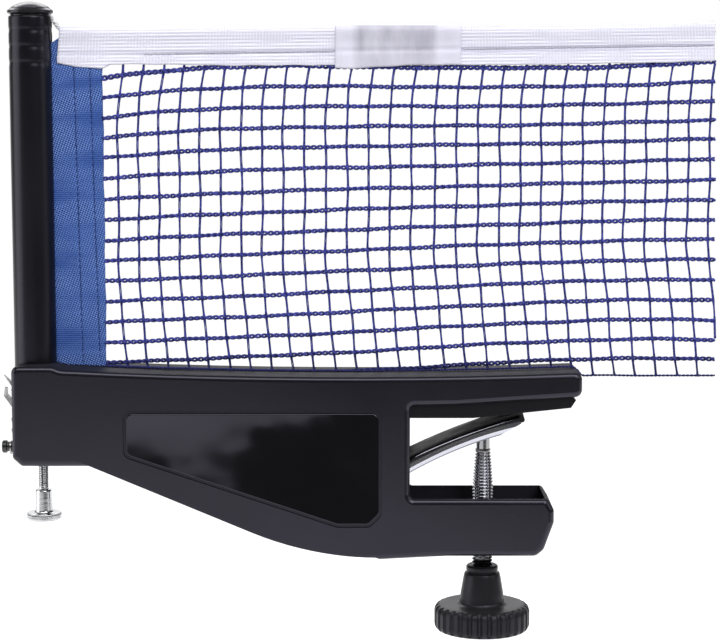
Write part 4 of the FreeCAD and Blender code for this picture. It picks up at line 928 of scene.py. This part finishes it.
def cord_route():
    """The net cord's route as points at even distances: a smooth curve drawn towards (x, z)
    corners, through the band, over the post's rim and down to the knot."""
    corners = [(CUT_X, CORD_LEVEL), (60.0, CORD_LEVEL), (-20.0, CORD_LEVEL),
               (-100.0, CORD_LEVEL), (-138.0, CORD_LEVEL), (-144.6, 146.6), (-147.3, 150.3),
               (-149.5, 153.3), (-152.2, 154.1), (KNOT_X, 152.2), (KNOT_X, 144.0)]
    curve = bpy.data.curves.new("cord_route", "CURVE")
    curve.dimensions = "3D"
    spline = curve.splines.new("NURBS")
    spline.points.add(len(corners) - 1)
    towards = np.array([(x, 0.0, z, 1.0) for x, z in corners], np.float32)
    spline.points.foreach_set("co", towards.ravel())
    spline.order_u = 3
    spline.use_endpoint_u = True
    spline.resolution_u = 24
    holder = placed("cord_route", curve)
    sampled = bpy.data.meshes.new_from_object(holder)
    path = np.empty(len(sampled.vertices) * 3)
    sampled.vertices.foreach_get("co", path)
    path = path.reshape(-1, 3)
    bpy.data.objects.remove(holder)
    gone = distance_along(path)
    even = np.linspace(0, gone[-1], int(gone[-1] / 0.45))
    return np.stack([np.interp(even, gone, path[:, i]) for i in range(3)], axis=-1)


def net_cord():
    """The tension cord: three strands laid about its route, with the knot of two turns that
    holds it under the cap."""
    grids = strands(cord_route(), 3, 0.42, 0.43, 4.6, 8)
    angle = np.linspace(0, TURN * 2.0, 60)
    knot = np.stack([KNOT_X + 1.25 * np.cos(angle), 1.25 * np.sin(angle),
                     143.2 + 0.32 * angle / np.pi], axis=-1)
    grids.append(tube(knot, 0.72, 8))
    piece("net_cord_twist", grids, "post", CORD, ["net_cord"])


post_tube()
clamp_screw()
clamp_knob()
height_screw()
net()
bottom_cord()
net_cord()
top_band()
label()
sleeve()
seams()


# ---------------------------------------------------------------- stage, light and camera

# From here on places and sizes are in metres.
WHITE_LIGHT = (1.0, 1.0, 1.0, 1.0)
ROOM_LEVEL = 0.08
FILL_LEVEL = 0.42
FLOOR_LEVEL = -0.35
FLOOR_TONE = 0.6
FLOOR_LIFT = 0.75
# The floor's corners as (x, y). Its front edge slants.
FLOOR_OUTLINE = ((-4.0, -2.6), (-0.6, -2.5), (-0.2, -2.35), (0.12, -1.5), (0.6, -1.1),
                 (4.0, -1.0), (4.0, 5.0), (-4.0, 5.0))
# Name, place, width, height and power of each lamp.
LAMPS = (("left_strip", (-1.24, -0.19, 0.30), 0.9, 1.0, 5.6),
         ("key", (0.06, -0.72, 1.15), 1.7, 0.7, 15.0),
         ("front_box", (0.75, -1.50, 1.05), 0.9, 0.8, 11.0),
         ("right_strip", (1.20, -0.35, 0.62), 0.4, 0.9, 3.0),
         ("rear_box", (-0.30, 1.30, 1.10), 1.2, 0.6, 9.0))
LAMP_TARGET = (-0.03, 0.0, 0.03)
CAMERA_PLACE = (-0.03112, -0.78882, 0.12779)
CAMERA_TILT = 6.65
FOCAL_PIXELS, PICTURE_PIXELS, SENSOR_WIDTH = 2060.0, 720.0, 36.0


def seen_rays(n):
    """1 for rays that the camera, a mirror or clear glass sends out, else 0."""
    rays = n.node("LightPath").outputs
    direct_or_mirror = n.math("MAXIMUM", rays["Is Camera Ray"], rays["Is Glossy Ray"])
    return n.math("MAXIMUM", direct_or_mirror, rays["Is Transmission Ray"])


def floor():
    """A pale floor below the clamp. It is lifted to white where it is seen, directly or in
    a mirror, and keeps the shadow that falls on it. From below it is clear, so that a view
    from there shows the clamp's underside."""
    mesh = bpy.data.meshes.new("floor")
    mesh.from_pydata([(x, y, FLOOR_LEVEL) for x, y in FLOOR_OUTLINE], [],
                     [range(len(FLOOR_OUTLINE))])
    f = Finish("floor_paint", (FLOOR_TONE,) * 3, 1.0, specular=0.0,
               **{"Emission Color": WHITE_LIGHT})
    f.feed(f.shader.inputs["Emission Strength"], f.times(seen_rays(f), FLOOR_LIFT))
    surface = f.node("MixShader")
    f.feed(surface.inputs[0], f.node("NewGeometry").outputs["Backfacing"])
    f.feed(surface.inputs[1], f.shader.outputs[0])
    f.feed(surface.inputs[2], f.node("BsdfTransparent").outputs[0])
    f.feed(f.tree.nodes["Material Output"].inputs["Surface"], surface.outputs[0])
    mesh.materials.append(f.material)
    made = placed("floor", mesh)


def studio_world():
    """A white background behind the clamp, seen directly and in its bright parts, a dim
    room in front of it as mirrors see it, and an even fill for everything else."""
    world = bpy.data.worlds.new("studio")
    bpy.context.scene.world = world
    world.use_nodes = True
    n = Nodes(world.node_tree)
    direction = n.node("SeparateXYZ")
    n.feed(direction.inputs[0], n.node("TexCoord").outputs["Generated"])
    behind = n.spread(direction.outputs["Y"], ROOM_LEVEL, 1.0, 0.55, 0.95, "SMOOTHSTEP")
    white = n.math("MAXIMUM", n.node("LightPath").outputs["Is Camera Ray"], behind)
    level = n.node("Mix")
    n.feed(level.inputs["Factor"], seen_rays(n))
    n.feed(level.inputs["A"], FILL_LEVEL)
    n.feed(level.inputs["B"], white)
    back = n.tree.nodes["Background"]
    n.feed(back.inputs["Color"], WHITE_LIGHT)
    n.feed(back.inputs["Strength"], level.outputs["Result"])


def soft_box(name, place, target, width, height, power):
    """A rectangular lamp at place that faces target."""
    lamp = bpy.data.lights.new(name, "AREA")
    lamp.shape = "RECTANGLE"
    lamp.size, lamp.size_y = width, height
    lamp.energy = power
    made = placed(name, lamp)
    made.location = place
    aim = Vector(target) - Vector(place)
    made.rotation_euler = aim.to_track_quat("-Z", "Y").to_euler()


def camera():
    """The photograph's viewpoint: 789 mm in front of the net, tilted down."""
    data = bpy.data.cameras.new("photo_view")
    data.sensor_width = SENSOR_WIDTH
    data.lens = FOCAL_PIXELS / PICTURE_PIXELS * SENSOR_WIDTH
    data.clip_start, data.clip_end = 0.01, 20.0
    made = placed("photo_view", data)
    made.location = CAMERA_PLACE
    made.rotation_euler = (math.radians(90 - CAMERA_TILT), 0.0, 0.0)
    bpy.context.scene.camera = made


floor()
studio_world()
for name, place, width, height, power in LAMPS:
    soft_box(name, place, LAMP_TARGET, width, height, power)
camera()
bpy.context.scene.view_settings.view_transform = "Standard"
